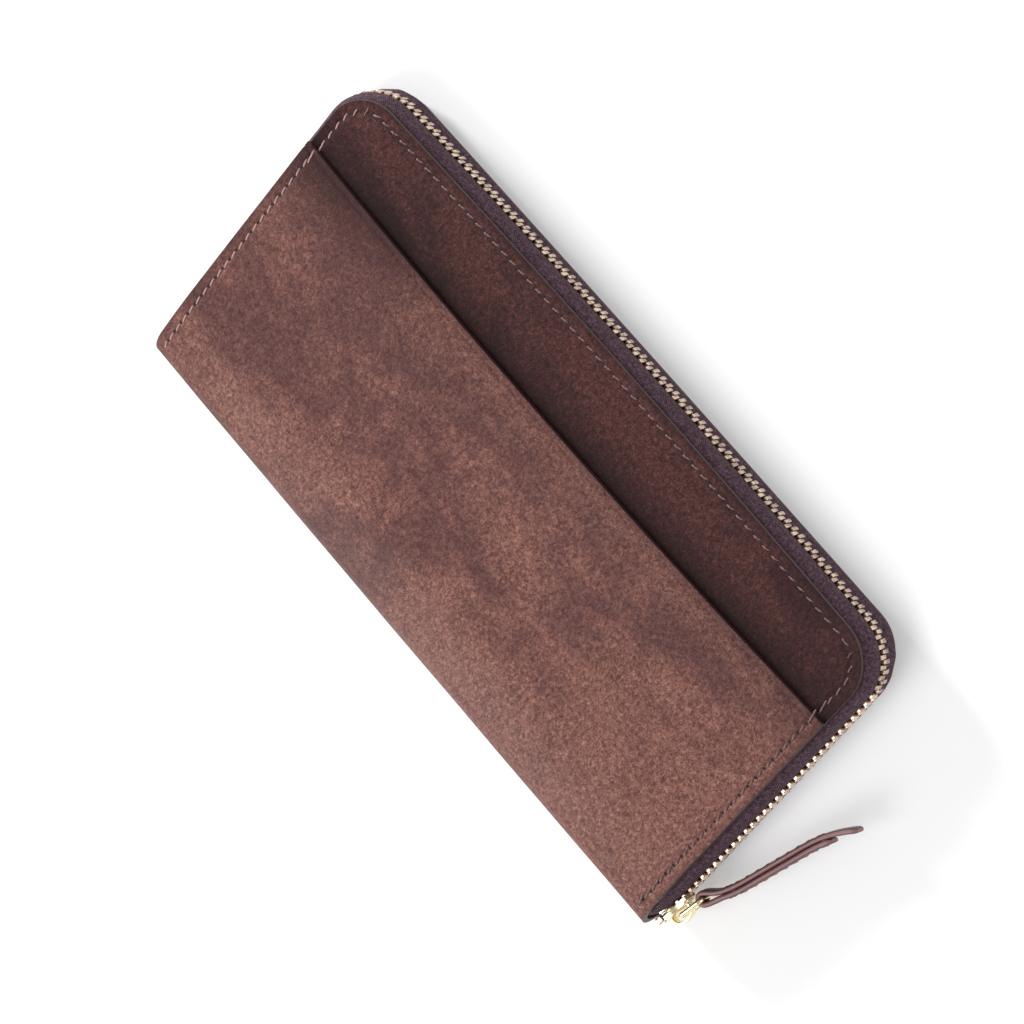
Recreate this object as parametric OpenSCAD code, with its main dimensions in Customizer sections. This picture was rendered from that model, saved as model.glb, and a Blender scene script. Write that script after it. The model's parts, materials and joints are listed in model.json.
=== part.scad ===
// Long wallet with a zip round three sides, an outside pocket, card tiers and a zipped coin leaf.
// It lies on its back: +Z is up through the front cover, +X runs along the spine and +Y points
// from the spine to the long zip edge. The origin is the centre of the back cover's flat face.

/* [Body] */
// Length of the leather panels along the spine
body_l = 195; // [185:1:205]
// Height of the leather panels from the spine to the zip edge
body_h = 97; // [92:1:102]
// Thickness over the back and front panels, without the outside pocket
body_t = 16.6; // [16.6:0.1:19]
// Radius of the two corners at the zip edge
corner_r = 12; // [10:0.5:14]
// Height of the outside pocket's mouth above the spine
mouth_h = 75; // [60:1:80]

/* [Leather and lining] */
// Thickness of the outer leather
hide_t = 1.4; // [1.2:0.1:1.5]
// Thickness of the lining leather
lining_t = 0.6; // [0.4:0.1:0.6]
// Thickness of one card tier
tier_t = 0.6; // [0.4:0.1:0.6]
// Rise from one card tier to the next
tier_step = 11; // [9:1:12]
// Thickness of the coin leaf's walls
wall_t = 0.8; // [0.6:0.1:0.8]

/* [Zip] */
// Distance between teeth on one tape
tooth_pitch = 2.45; // [2.2:0.05:2.6]
// Thickness of the zip tape
tape_t = 0.5; // [0.4:0.1:0.5]
// How far the chain stands outside the leather's edge
chain_out = 2; // [1.8:0.1:2.4]

/* [Pull] */
// Length of the leather pull strap from its loop to its longer end
strap_l = 46; // [35:1:50]
// Width of the leather pull strap
strap_w = 4.4; // [4:0.1:4.6]
// Angle of the ring from the chain, outwards
ring_angle = 8; // [7:0.5:12]
// Angle of the strap from the chain, outwards
strap_angle = 21; // [20:0.5:24]

/* [Hidden] */

$fn = 48;
eps = 0.01;

// Places that follow from the driving dimensions
half_l = body_l / 2;
y_spine = -body_h / 2;
y_edge = body_h / 2;
spine_r = (body_t + hide_t) / 2;   // outer radius of the leather round the spine
y_fold = y_spine + spine_r;        // where the flat covers end and the spine begins
z_zip = body_t / 2;                // middle plane of the main zip
y_corner = y_edge - corner_r;      // centre of the corner arcs
x_corner = half_l - corner_r;
lining_r = z_zip - hide_t - tape_t; // outer radius of the spine lining
board_inset = 9;                   // the stiffener keeps clear of the zip tape
lining_inset = 1;
corner_steps = 10;                 // straight facets in a quarter of a corner

// Card tiers
tier_x = 90;
tier_y_low = y_fold + 2;
tier_top = 30;                     // top of the tallest tier
tier_z = hide_t + tape_t + lining_t;

// Coin leaf
leaf_x = 88;
leaf_y_low = y_fold + 3;
leaf_y_top = 32;
leaf_t = 4.2;                      // over both walls
leaf_z = z_zip - leaf_t / 2;
coin_tape_t = 0.5;
coin_tape_rise = 0.4;
coin_tape_h = 8.5;
coin_scale = 0.7;                  // the coin zip's teeth against the main zip's
coin_pitch = 1.6;
coin_run = 78;                     // half the length of the coin zip

// Main zip
tooth_t = 1.9;                     // thickness of a tooth through the chain
tooth_root = 2.2;                  // from the chain's centre line to the root of a tooth
tape_flat = 4;                     // half width of the flat band that the slider runs on
tape_under = 7;                    // how far the tape reaches in under the leather
y_tape_low = y_fold + 3.3;         // where the sewn tape gives way to its free tails
y_tail_low = y_spine + 2;
chain_r = corner_r + chain_out;

// Slider and pull
slider_y = y_spine + 4.9;          // wide mouth of the slider
slider_len = 9;
y_teeth_low = slider_y + 4.6;      // first tooth at the slider's end
y_left_low = y_fold + 3.6;         // last tooth at the other end
plate_gap = tooth_t + 0.4;
plate_t = 0.9;
crown_w = 2.4;
pivot_out = chain_out + plate_gap / 2 + plate_t + 1.15; // ring's axis, outside the leather's edge
pivot_y = slider_y + 4;
wire_r = 0.6;
ring_len = 7.6;                    // between the centres of the ring's two end bars
ring_half_w = 3.1;                 // half width to the centre of the side bars
ring_bend = 1.3;
layer_t = 1.2;                     // thickness of one layer of the strap
strap_gap = 0.25;                  // between the two layers
loop_r = wire_r + 0.25;            // inside radius of the strap's loop

function arc(cx, cy, r, a0, a1, n) =
    [for (i = [0:n]) [cx + r * cos(a0 + (a1 - a0) * i / n), cy + r * sin(a0 + (a1 - a0) * i / n)]];

// Outline of a cover panel, set in from the leather's edge, from y_low to the zip edge
function cover_outline(inset, y_low) = concat(
    [[-half_l + inset, y_low], [half_l - inset, y_low]],
    arc(x_corner, y_corner, corner_r - inset, 0, 90, corner_steps),
    arc(-x_corner, y_corner, corner_r - inset, 90, 180, corner_steps));

module cover(inset, y_low, z, t)
    translate([0, 0, z]) linear_extrude(t) polygon(cover_outline(inset, y_low));

module sheet(x, y_low, y_top, z, t)
    translate([-x, y_low, z]) cube([2 * x, y_top - y_low, t]);

// A quarter of a tube along X: the lower quarter lies under z_c, the upper one over it
module spine_quarter(x, z_c, r_out, t, upper)
    intersection() {
        translate([-x, y_fold, z_c]) rotate([0, 90, 0]) difference() {
            cylinder(h = 2 * x, r = r_out);
            translate([0, 0, -eps]) cylinder(h = 2 * (x + eps), r = r_out - t);
        }
        translate([-x, y_fold - r_out, upper ? z_c : z_c - r_out]) cube([2 * x, r_out, r_out]);
    }

// ---- Covers ----

module back_panel() color("#6b4238") cover(0, y_fold, 0, hide_t);

module spine_leather_rear() color("#6b4238")
    spine_quarter(half_l, spine_r, spine_r, hide_t, false);

module spine_leather_front() color("#6b4238")
    spine_quarter(half_l, spine_r, spine_r, hide_t, true);

module front_panel() color("#633c34") cover(0, y_fold, body_t - hide_t, hide_t);

module outside_pocket() color("#6b4238")
    sheet(half_l, y_fold, y_spine + mouth_h, body_t, hide_t);

module stiffener(z) color("#b9a182") cover(board_inset, y_fold + 1, z, tape_t);
module back_stiffener() stiffener(hide_t);
module front_stiffener() stiffener(body_t - hide_t - tape_t);

module lining(z) color("#4a2d29") cover(lining_inset, y_fold, z, lining_t);
module back_lining() lining(hide_t + tape_t);
module front_lining() lining(body_t - hide_t - tape_t - lining_t);

module spine_lining(upper) color("#4a2d29")
    spine_quarter(half_l - lining_inset, z_zip, lining_r, lining_t, upper);
module spine_lining_rear() spine_lining(false);
module spine_lining_front() spine_lining(true);

// ---- Card tiers: tier 1 is the tallest and lies against the lining ----

module card_tier(i, z) color("#5f3a32")
    sheet(tier_x, tier_y_low, tier_top - (i - 1) * tier_step, z, tier_t);
module back_card_tier(i) card_tier(i, tier_z + (i - 1) * tier_t);
module front_card_tier(i) card_tier(i, body_t - tier_z - i * tier_t);

// ---- Gussets: a sheet folded inwards between a cover and the coin leaf ----

gusset_t = 0.4;
gusset_fold_x = 70;                 // fold line, deep enough for the cover to open
gusset_y_low = tier_y_low + 1;
gusset_y_top = 28;
gusset_z = tier_z + 4 * tier_t + 0.1;
gusset_h = leaf_z - 0.1 - gusset_z;

module gusset(side, z)
    color("#4f302b") translate([0, gusset_y_top, z]) rotate([90, 0, 0])
        linear_extrude(gusset_y_top - gusset_y_low) scale([side, 1]) difference() {
            translate([gusset_fold_x, 0]) square([tier_x - gusset_fold_x, gusset_h]);
            translate([gusset_fold_x + gusset_t, gusset_t]) square([tier_x, gusset_h - 2 * gusset_t]);
        }

// ---- Main zip ----

// Half of the tape's cross section: out is the distance outside the leather's edge, h the height
// above the zip's middle plane. It leaves the leather flat, turns down and runs level to the teeth.
tape_mid = z_zip - hide_t - tape_t / 2; // height of the sewn band over the middle plane
function tape_line() = concat([[-tape_under, tape_mid]],
    [for (a = [0:15:90]) [chain_out * sin(a), tape_flat + (tape_mid - tape_flat) * cos(a)]],
    [[chain_out, tooth_root]]);
function unit(v) = v / norm(v);
function normal_at(p, i) = let (d = unit(p[min(i + 1, len(p) - 1)] - p[max(i - 1, 0)])) [d[1], -d[0]];
function ribbon(p, t) = concat(
    [for (i = [0:len(p) - 1]) p[i] + normal_at(p, i) * t / 2],
    [for (i = [len(p) - 1:-1:0]) p[i] - normal_at(p, i) * t / 2]);

module tape_section() polygon(ribbon(tape_line(), tape_t));

module tape_half(up) color("#3a2a33") translate([0, 0, z_zip]) mirror([0, 0, up ? 0 : 1]) {
    run = y_corner - y_tape_low;
    for (side = [0, 1]) mirror([side, 0, 0]) {
        translate([half_l, y_corner, 0]) rotate([90, 0, 0]) linear_extrude(run) tape_section();
        translate([x_corner, y_corner, 0]) rotate_extrude(angle = 90)
            translate([corner_r, 0]) tape_section();
    }
    translate([-x_corner, y_edge, 0]) rotate([90, 0, 90]) linear_extrude(2 * x_corner) tape_section();
}
module zip_tape_rear() tape_half(false);
module zip_tape_front() tape_half(true);

// The free ends of the tape, which tuck in at the spine
module tape_tails(up) color("#3a2a33") translate([0, 0, z_zip]) mirror([0, 0, up ? 0 : 1])
    for (side = [0, 1]) mirror([side, 0, 0])
        translate([half_l + chain_out - tape_t / 2, y_tail_low, tooth_root])
            cube([tape_t, y_tape_low - y_tail_low, tape_flat - tooth_root]);
module zip_tail_rear() tape_tails(false);
module zip_tail_front() tape_tails(true);

// A tooth seen from outside the chain: y is across the chain with the head reaching past 0
module tooth(k = 1) translate([0, 0, -k * tooth_t / 2]) linear_extrude(k * tooth_t) scale([k, k])
    polygon([[-0.4, -0.55], [0.4, -0.55], [0.5, -0.35], [0.5, 0.35], [0.68, 0.75],
        [0.68, tooth_root], [-0.68, tooth_root], [-0.68, 0.75], [-0.5, 0.35], [-0.5, -0.35]]);

// Place on the chain's centre line at a length s from the slider's end: [x, y, heading]
len_side = y_corner - y_teeth_low;
len_bend = chain_r * PI / 2;
len_top = 2 * x_corner;
len_left = y_corner - y_left_low;
chain_len = len_side + 2 * len_bend + len_top + len_left;
function chain_at(s) =
    s < len_side ? [half_l + chain_out, y_teeth_low + s, 90]
    : s < len_side + len_bend ? let (a = (s - len_side) / chain_r * 180 / PI)
        [x_corner + chain_r * cos(a), y_corner + chain_r * sin(a), 90 + a]
    : s < len_side + len_bend + len_top ?
        [x_corner - (s - len_side - len_bend), y_edge + chain_out, 180]
    : s < len_side + 2 * len_bend + len_top ?
        let (a = 90 + (s - len_side - len_bend - len_top) / chain_r * 180 / PI)
        [-x_corner + chain_r * cos(a), y_corner + chain_r * sin(a), 90 + a]
    : [-half_l - chain_out, y_corner - (s - len_side - 2 * len_bend - len_top), 270];

// Teeth of one row. The front row is half a pitch on from the rear row. The straight short sides
// are a group of their own, because the cover's hinge and the slider part the teeth there.
tooth_count = floor((chain_len - tooth_pitch) / tooth_pitch);
function on_side(s) = s < len_side || s > chain_len - len_left;
module teeth(up, sides) color("#b39a5e")
    for (i = [0:tooth_count]) {
        s = (i + (up ? 0.5 : 0)) * tooth_pitch;
        p = chain_at(s);
        if (on_side(s) == sides)
            translate([p[0], p[1], z_zip]) rotate([0, 0, p[2]]) rotate([90, 0, 0])
                mirror([0, up ? 0 : 1, 0]) tooth();
    }
module zip_teeth_rear_top() teeth(false, false);
module zip_teeth_front_top() teeth(true, false);
module zip_teeth_rear_sides() teeth(false, true);
module zip_teeth_front_sides() teeth(true, true);

stop_len = 2;
module top_stop(up) color("#b39a5e")
    translate([half_l + chain_out - tooth_t / 2, slider_y - stop_len - 0.3, z_zip])
        mirror([0, 0, up ? 0 : 1]) translate([0, 0, 0.7])
            cube([tooth_t, stop_len, tooth_root - 0.7]);
module zip_top_stop_rear() top_stop(false);
module zip_top_stop_front() top_stop(true);
module zip_bottom_stop() color("#b39a5e")
    translate([-half_l - chain_out - tooth_t / 2, y_left_low - 2.4, z_zip - tooth_root])
        cube([tooth_t, stop_len, 2 * tooth_root - 0.1]);

// ---- Main slider, ring and strap ----

mouth_half = 3.6;                  // half width of the slider at its wide mouth
tail_half = 3.05;                  // and at its narrow end
lip_w = 0.45;
lip_gap = tape_t + 0.4;
function plate_outline(inset) = [[-mouth_half + inset, 0.8], [-mouth_half + inset + 0.8, 0],
    [mouth_half - inset - 0.8, 0], [mouth_half - inset, 0.8], [mouth_half - inset, 3.2],
    [tail_half - inset, 5.2], [tail_half - inset, slider_len], [-tail_half + inset, slider_len],
    [-tail_half + inset, 5.2], [-mouth_half + inset, 3.2]];

// Local frame of the slider: x across the chain, y along it, z outwards from the chain's middle
module slider_shell() {
    for (s = [0, 1]) mirror([0, 0, s]) {
        translate([0, 0, plate_gap / 2]) linear_extrude(plate_t) polygon(plate_outline(0));
        translate([0, 0, lip_gap / 2]) linear_extrude(plate_gap / 2 + plate_t - lip_gap / 2)
            difference() {
                polygon(plate_outline(0));
                polygon(plate_outline(lip_w));
                translate([-10, -1]) square([20, 1.8]);
                translate([-tail_half + lip_w, 6]) square([2 * (tail_half - lip_w), 4]);
            }
    }
    translate([0, 0, -plate_gap / 2 - eps]) linear_extrude(plate_gap + 2 * eps)
        polygon([[-0.5, 0.4], [0.5, 0.4], [0.85, 1.6], [0.3, 3.4], [-0.3, 3.4], [-0.85, 1.6]]);
}
crown_hole_r = wire_r + 0.35;
module slider_crown() {
    base = plate_gap / 2 + plate_t;
    pivot = pivot_out - chain_out;
    translate([-crown_w / 2, pivot_y - slider_y, 0]) rotate([90, 0, 90]) difference() {
        union() {
            translate([-2.6, base - 0.3]) cube([5.2, pivot - base + 0.3, crown_w]);
            translate([0, pivot, 0]) cylinder(h = crown_w, r = 1.75);
            translate([-2.6, pivot - 0.6, 0]) cube([5.2, 0.6, crown_w]);
        }
        translate([0, pivot, -1]) cylinder(h = crown_w + 2, r = crown_hole_r);
    }
}
module zip_slider() color("#d8b45c")
    translate([half_l + chain_out, slider_y, z_zip]) rotate([0, 90, 0]) {
        slider_shell();
        slider_crown();
    }

// Ring in its own frame: y along the ring from its pivot, x across, z through the wire
module ring_bar(p, l, a) translate(p) rotate([0, 0, a]) rotate([0, 90, 0]) cylinder(h = l, r = wire_r);
module ring_corner(x, y, a) translate([x, y, 0]) rotate([0, 0, a]) rotate_extrude(angle = 90)
    translate([ring_bend, 0]) circle(wire_r);
module pull_ring() color("#d8b45c")
    translate([half_l + pivot_out, pivot_y, z_zip]) rotate([0, 0, -ring_angle]) rotate([0, 90, 0]) {
        w = ring_half_w - ring_bend;
        ring_bar([-w, 0, 0], 2 * w, 0);
        ring_bar([-w, ring_len, 0], 2 * w, 0);
        for (s = [-1, 1]) ring_bar([s * ring_half_w, ring_bend, 0], ring_len - 2 * ring_bend, 90);
        ring_corner(w, ring_bend, -90);
        ring_corner(-w, ring_bend, 180);
        ring_corner(w, ring_len - ring_bend, 0);
        ring_corner(-w, ring_len - ring_bend, 90);
    }

// Strap: one strip folded round the ring's far bar. Its own frame has y along the strap.
bar_x = half_l + pivot_out + ring_len * sin(ring_angle);
bar_y = pivot_y + ring_len * cos(ring_angle);
strap_short = 7;                   // the inner layer ends this much before the outer one
loop_out = loop_r + layer_t;
strap_neck = 7;                    // where the two layers come together past the loop
module strap_layer(l) linear_extrude(strap_w, center = true) polygon([
    [loop_r, 0], [loop_out, 0], [strap_gap / 2 + layer_t, strap_neck], [strap_gap / 2 + layer_t, l],
    [strap_gap / 2, l], [strap_gap / 2, strap_neck]]);
module pull_strap() color("#5a3540")
    translate([bar_x, bar_y, z_zip]) rotate([0, 0, -strap_angle]) {
        difference() {
            cylinder(h = strap_w, r = loop_out, center = true);
            cylinder(h = strap_w + 1, r = loop_r, center = true);
            translate([-loop_out - 1, 0, -strap_w]) cube([2 * loop_out + 2, loop_out + 1, 2 * strap_w]);
        }
        mirror([1, 0, 0]) strap_layer(strap_l);
        strap_layer(strap_l - strap_short);
        translate([-strap_gap / 2, strap_neck + 2, -strap_w / 2])
            cube([strap_gap, strap_l - strap_short - strap_neck - 5, strap_w]);
    }

// ---- Coin leaf ----

module coin_wall(z) color("#5f3a32") sheet(leaf_x, leaf_y_low, leaf_y_top, z, wall_t);
module coin_wall_rear() coin_wall(leaf_z);
module coin_wall_front() coin_wall(leaf_z + leaf_t - wall_t);

strip_t = 1.2;
module coin_bottom_strip() color("#4f302b")
    sheet(leaf_x, leaf_y_low, leaf_y_low + strip_t, leaf_z + wall_t, leaf_t - 2 * wall_t);
module coin_side_strip(side) color("#4f302b")
    translate([side > 0 ? leaf_x - strip_t : -leaf_x, leaf_y_low + strip_t, leaf_z + wall_t])
        cube([strip_t, leaf_y_top - leaf_y_low - strip_t, leaf_t - 2 * wall_t]);

coin_y = leaf_y_top + coin_tape_rise;
module coin_tape(z) color("#3a2a33")
    sheet(leaf_x - strip_t - 0.2, coin_y - coin_tape_h, coin_y, z, coin_tape_t);
module coin_tape_rear() coin_tape(leaf_z + wall_t);
module coin_tape_front() coin_tape(leaf_z + leaf_t - wall_t - coin_tape_t);

coin_tooth_y = coin_y + coin_scale * tooth_t / 2;
coin_count = floor((2 * coin_run - 12) / coin_pitch);
module coin_teeth(up) color("#b39a5e")
    for (i = [0:coin_count]) {
        x = -coin_run + 3 + (i + (up ? 0.5 : 0)) * coin_pitch;
        translate([x, coin_tooth_y, z_zip]) rotate([90, 0, 0])
            mirror([0, up ? 0 : 1, 0]) tooth(coin_scale);
    }
module coin_teeth_rear() coin_teeth(false);
module coin_teeth_front() coin_teeth(true);

module coin_stop(x) color("#b39a5e")
    translate([x - 0.8, coin_y, z_zip - 1.5]) cube([1.6, coin_scale * tooth_t, 3]);
module coin_stop_left() coin_stop(-coin_run);
module coin_stop_right() coin_stop(coin_run + 1.4);

// Coin slider: a small body with a plate over and under the chain and a crown for its tab
coin_slider_x = coin_run - 7.6;
coin_slider_len = 7;
coin_plate_t = 0.7;
coin_gap = coin_scale * tooth_t + 0.3;
coin_under_half = (leaf_t - 2 * wall_t - 2 * coin_tape_t) / 2 - 0.15;
coin_pivot = coin_gap / 2 + coin_plate_t + 0.95;
module coin_slider() color("#c9b072")
    translate([coin_slider_x, coin_tooth_y, z_zip]) rotate([-90, 0, 0]) {
        translate([0, -2.3, coin_gap / 2]) cube([coin_slider_len, 4.6, coin_plate_t]);
        translate([0.4, -coin_under_half, -coin_gap / 2 - coin_plate_t])
            cube([coin_slider_len - 0.8, 2 * coin_under_half, coin_plate_t]);
        translate([coin_slider_len - 2.2, -0.35, -coin_gap / 2 - eps])
            cube([1.4, 0.7, coin_gap + 2 * eps]);
        translate([coin_slider_len / 2, 0.9, 0]) rotate([90, 0, 0]) difference() {
            union() {
                translate([-1.9, coin_gap / 2 + coin_plate_t - 0.2]) cube([3.8, 1.15, 1.8]);
                translate([0, coin_pivot, 0]) cylinder(h = 1.8, r = 1.3);
            }
            translate([0, coin_pivot, -1]) cylinder(h = 4, r = 0.7);
        }
    }
tab_l = 10;
tab_t = 0.8;
module coin_pull_tab() color("#c9b072")
    translate([coin_slider_x + coin_slider_len / 2, coin_tooth_y + coin_pivot, z_zip]) difference() {
        union() {
            translate([-tab_l, -tab_t / 2, -2]) cube([tab_l - 1.1, tab_t, 4]);
            for (s = [-1, 1]) translate([-1.4, -tab_t / 2, s > 0 ? 1.15 : -2]) cube([1.8, tab_t, 0.85]);
            translate([0, 0, -2]) cylinder(h = 4, r = 0.45);
        }
        translate([-3, -1, -1.15]) cube([2.55, 2, 2.3]);
        translate([-tab_l + 2.2, 1, 0]) rotate([90, 0, 0]) cylinder(h = 2, r = 0.9);
    }

back_panel();
spine_leather_rear();
back_stiffener();
back_lining();
spine_lining_rear();
zip_tape_rear();
zip_tail_rear();
zip_teeth_rear_top();
zip_teeth_rear_sides();
zip_top_stop_rear();
zip_bottom_stop();
back_card_tier(1);  // back_card_tier_1
back_card_tier(2);  // back_card_tier_2
back_card_tier(3);  // back_card_tier_3
back_card_tier(4);  // back_card_tier_4
gusset(-1, gusset_z);  // gusset_rear_left
gusset(1, gusset_z);  // gusset_rear_right
front_panel();
outside_pocket();
spine_leather_front();
front_stiffener();
front_lining();
spine_lining_front();
zip_tape_front();
zip_tail_front();
zip_teeth_front_top();
zip_teeth_front_sides();
zip_top_stop_front();
front_card_tier(1);  // front_card_tier_1
front_card_tier(2);  // front_card_tier_2
front_card_tier(3);  // front_card_tier_3
front_card_tier(4);  // front_card_tier_4
gusset(-1, body_t - gusset_z - gusset_h);  // gusset_front_left
gusset(1, body_t - gusset_z - gusset_h);  // gusset_front_right
coin_wall_rear();
coin_wall_front();
coin_bottom_strip();
coin_side_strip(-1);  // coin_side_strip_left
coin_side_strip(1);  // coin_side_strip_right
coin_tape_rear();
coin_tape_front();
coin_teeth_rear();
coin_teeth_front();
coin_stop_left();
coin_stop_right();
zip_slider();
pull_ring();
pull_strap();
coin_slider();
coin_pull_tab();
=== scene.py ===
# %% [markdown]
# # A long wallet with a round zip
# This lesson dresses a finished mechanical model of a long leather wallet. The model gives every
# size and every joint. Here each plain piece is swapped for one that is built the way a maker
# would see it: hide with burnished edges, saddle stitches, woven zip tape and cast brass.

# %% Load the frame
import json
import math
import bmesh
import bpy
from mathutils import Matrix, Vector, noise


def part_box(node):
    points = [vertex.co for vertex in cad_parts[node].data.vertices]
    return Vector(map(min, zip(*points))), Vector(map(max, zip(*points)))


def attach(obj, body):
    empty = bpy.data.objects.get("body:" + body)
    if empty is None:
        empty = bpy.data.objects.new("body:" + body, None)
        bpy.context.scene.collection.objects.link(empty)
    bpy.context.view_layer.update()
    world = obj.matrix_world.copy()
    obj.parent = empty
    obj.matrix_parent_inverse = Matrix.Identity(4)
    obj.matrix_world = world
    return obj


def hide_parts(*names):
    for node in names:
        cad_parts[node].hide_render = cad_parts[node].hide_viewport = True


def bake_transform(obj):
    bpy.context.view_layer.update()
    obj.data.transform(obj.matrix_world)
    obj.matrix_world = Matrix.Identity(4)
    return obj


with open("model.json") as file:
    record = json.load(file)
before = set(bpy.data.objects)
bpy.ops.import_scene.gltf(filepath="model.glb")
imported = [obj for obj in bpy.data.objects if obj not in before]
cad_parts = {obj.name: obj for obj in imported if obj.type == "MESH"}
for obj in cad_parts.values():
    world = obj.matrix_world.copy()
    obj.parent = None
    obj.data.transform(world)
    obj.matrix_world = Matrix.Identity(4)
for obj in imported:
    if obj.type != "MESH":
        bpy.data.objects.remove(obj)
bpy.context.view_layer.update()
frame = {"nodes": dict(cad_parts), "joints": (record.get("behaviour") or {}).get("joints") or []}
mm = 0.001

# %% [markdown]
# ## The driving sizes
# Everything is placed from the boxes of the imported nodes, so the looks always fit the mechanics.
# Only four sizes are a maker's choice: the corner radius, the seam's distance from the edge, the
# pitch of the stitches and how far the tape stands out beyond the leather.

# %% Read the sizes from the frame
panel_low, panel_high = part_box("front_panel")
pocket_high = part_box("outside_pocket")[1]
back_low, back_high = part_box("back_panel")
half_length = panel_high.x
edge_y = panel_high.y
fold_y = panel_low.y
hide = back_high.z - back_low.z
panel_z = panel_high.z
pocket_z = pocket_high.z
mouth_y = pocket_high.y
zip_z = panel_z / 2
spine_radius = pocket_z / 2
corner = 12 * mm
corner_x = half_length - corner
corner_y = edge_y - corner
seam_inset = 3 * mm
stitch_pitch = 3.24 * mm
chain_out = 2 * mm
joint = {j["name"]: j for j in frame["joints"]}
print("hide", round(hide / mm, 2), "mm, pocket mouth at y", round(mouth_y / mm, 1), "mm")

# %% [markdown]
# ## From rows of points to a mesh
# A sheet of leather is easiest to describe as patches, each a table of points. One helper turns
# the patches into a mesh and welds the seams between them. A second gives the sheet its thickness
# with a Solidify modifier and rounds the cut edges with a Bevel. Both are applied at once, so that
# the mesh is final before it rides on a body.

# %% Mesh helpers
def link(name, mesh):
    piece = bpy.data.objects.new(name, mesh)
    bpy.context.scene.collection.objects.link(piece)
    return piece


def smooth(piece, angle=35):
    piece.data.shade_smooth()
    piece.data.set_sharp_from_angle(angle=math.radians(angle))


def weave(name, patches, marks=None):
    """A mesh from tables of points. marks gives two numbers per point, kept as along and across."""
    bm = bmesh.new()
    layers = [bm.verts.layers.float.new(key) for key in ("along", "across")]
    for k, table in enumerate(patches):
        rows = []
        for i, row in enumerate(table):
            made = [bm.verts.new(p) for p in row]
            if marks:
                for j, v in enumerate(made):
                    for layer, value in zip(layers, marks[k][i][j]):
                        v[layer] = value
            rows.append(made)
        for a, b in zip(rows, rows[1:]):
            for j in range(len(a) - 1):
                bm.faces.new((a[j], a[j + 1], b[j + 1], b[j]))
    bmesh.ops.remove_doubles(bm, verts=bm.verts, dist=0.002 * mm)
    bmesh.ops.recalc_face_normals(bm, faces=bm.faces)
    mesh = bpy.data.meshes.new(name)
    bm.to_mesh(mesh)
    bm.free()
    return link(name, mesh)


def apply_modifiers(piece):
    graph = bpy.context.evaluated_depsgraph_get()
    mesh = bpy.data.meshes.new_from_object(piece.evaluated_get(graph))
    piece.modifiers.clear()
    piece.data = mesh
    return piece


def thicken(piece, thickness, outward, rounding=0.3 * mm, segments=2):
    """Gives an open sheet its thickness on the side away from outward, and rounds its cut edges."""
    middle = len(piece.data.polygons) // 2
    flip = piece.data.polygons[middle].normal.dot(outward(piece.data.polygons[middle].center)) < 0
    if flip:
        piece.data.flip_normals()
    solid = piece.modifiers.new("thickness", "SOLIDIFY")
    solid.thickness = thickness
    solid.offset = -1
    solid.use_even_offset = True
    solid.material_offset_rim = 1
    piece.data.materials.clear()
    for _ in range(2):
        piece.data.materials.append(None)
    if rounding:
        bevel = piece.modifiers.new("rounding", "BEVEL")
        bevel.width = rounding
        bevel.segments = segments
        bevel.limit_method = "ANGLE"
        bevel.angle_limit = math.radians(50)
    apply_modifiers(piece)
    smooth(piece)
    return piece


def sweep(name, path, section, closed=False, marks=False):
    """Carries a closed section, given as (side, up) pairs, along frames of (point, side, up)."""
    rings = []
    notes = []
    for i, (p, side, up) in enumerate(path):
        ring = [p + side * a + up * b for a, b in section]
        rings.append(ring + ring[:1])
        notes.append([(i / len(path), b) for _, b in section + section[:1]])
    if closed:
        rings.append(rings[0])
        notes.append(notes[0])
    piece = weave(name, [rings], [notes] if marks else None)
    if not closed:
        bm = bmesh.new()
        bm.from_mesh(piece.data)
        bmesh.ops.holes_fill(bm, edges=[e for e in bm.edges if e.is_boundary], sides=0)
        bmesh.ops.recalc_face_normals(bm, faces=bm.faces)
        bm.to_mesh(piece.data)
        bm.free()
    smooth(piece)
    return piece


def join(name, pieces):
    """Joins several meshes into one piece."""
    bm = bmesh.new()
    for p in pieces:
        p.data.transform(p.matrix_world)
        bm.from_mesh(p.data)
        bpy.data.objects.remove(p)
    mesh = bpy.data.meshes.new(name)
    bm.to_mesh(mesh)
    bm.free()
    piece = link(name, mesh)
    smooth(piece)
    return piece


def steps(a, b, step):
    """Even steps from a to b, each as near to step as fits."""
    n = max(1, round(abs(b - a) / step))
    return [a + (b - a) * i / n for i in range(n + 1)]


def dress(piece, body, slot, *nodes):
    """Makes a piece ride on a body and stand for CAD nodes. The slot is not used."""
    if nodes:
        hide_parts(*nodes)
    if body:
        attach(piece, body)
    return piece


# %% [markdown]
# ## The wallet is not a box
# A filled wallet is gently crowned, its zip edge bows out a little and the mouth of the outside
# pocket dips in the middle. These small departures from straight lines are what makes leather
# look like leather, so each has a function that every piece shares.

# %% Crown, bow and mouth
crown_height = 1.5 * mm
bow_depth = 1.4 * mm
back_bow_depth = 0.3 * mm
mouth_dip = 1.3 * mm
mouth_gap = 0.5 * mm
front_short = 1.3 * mm
droop_reach = 16 * mm
droop_depth = 0.8 * mm


def hump(x):
    return max(0.0, 1 - (x / half_length) ** 2)


def crown(x, y):
    """How far the front swells. It dies away towards the edges and droops before the spine."""
    across = max(0.0, 1 - ((y + 2 * mm) / (edge_y + 2 * mm)) ** 2)
    droop = max(0.0, (fold_y + droop_reach - y) / droop_reach)
    return crown_height * hump(x) * across - droop_depth * droop ** 2


def bow(x, y, back=False):
    """How far the zip edge stands out mid-length. The front is cut shorter and bows out more."""
    reach = min(max(0.0, (y - fold_y) / (edge_y - fold_y)), 1.05) ** 2
    if back:
        return reach * back_bow_depth * hump(x)
    return reach * (bow_depth * hump(x) - front_short)


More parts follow.
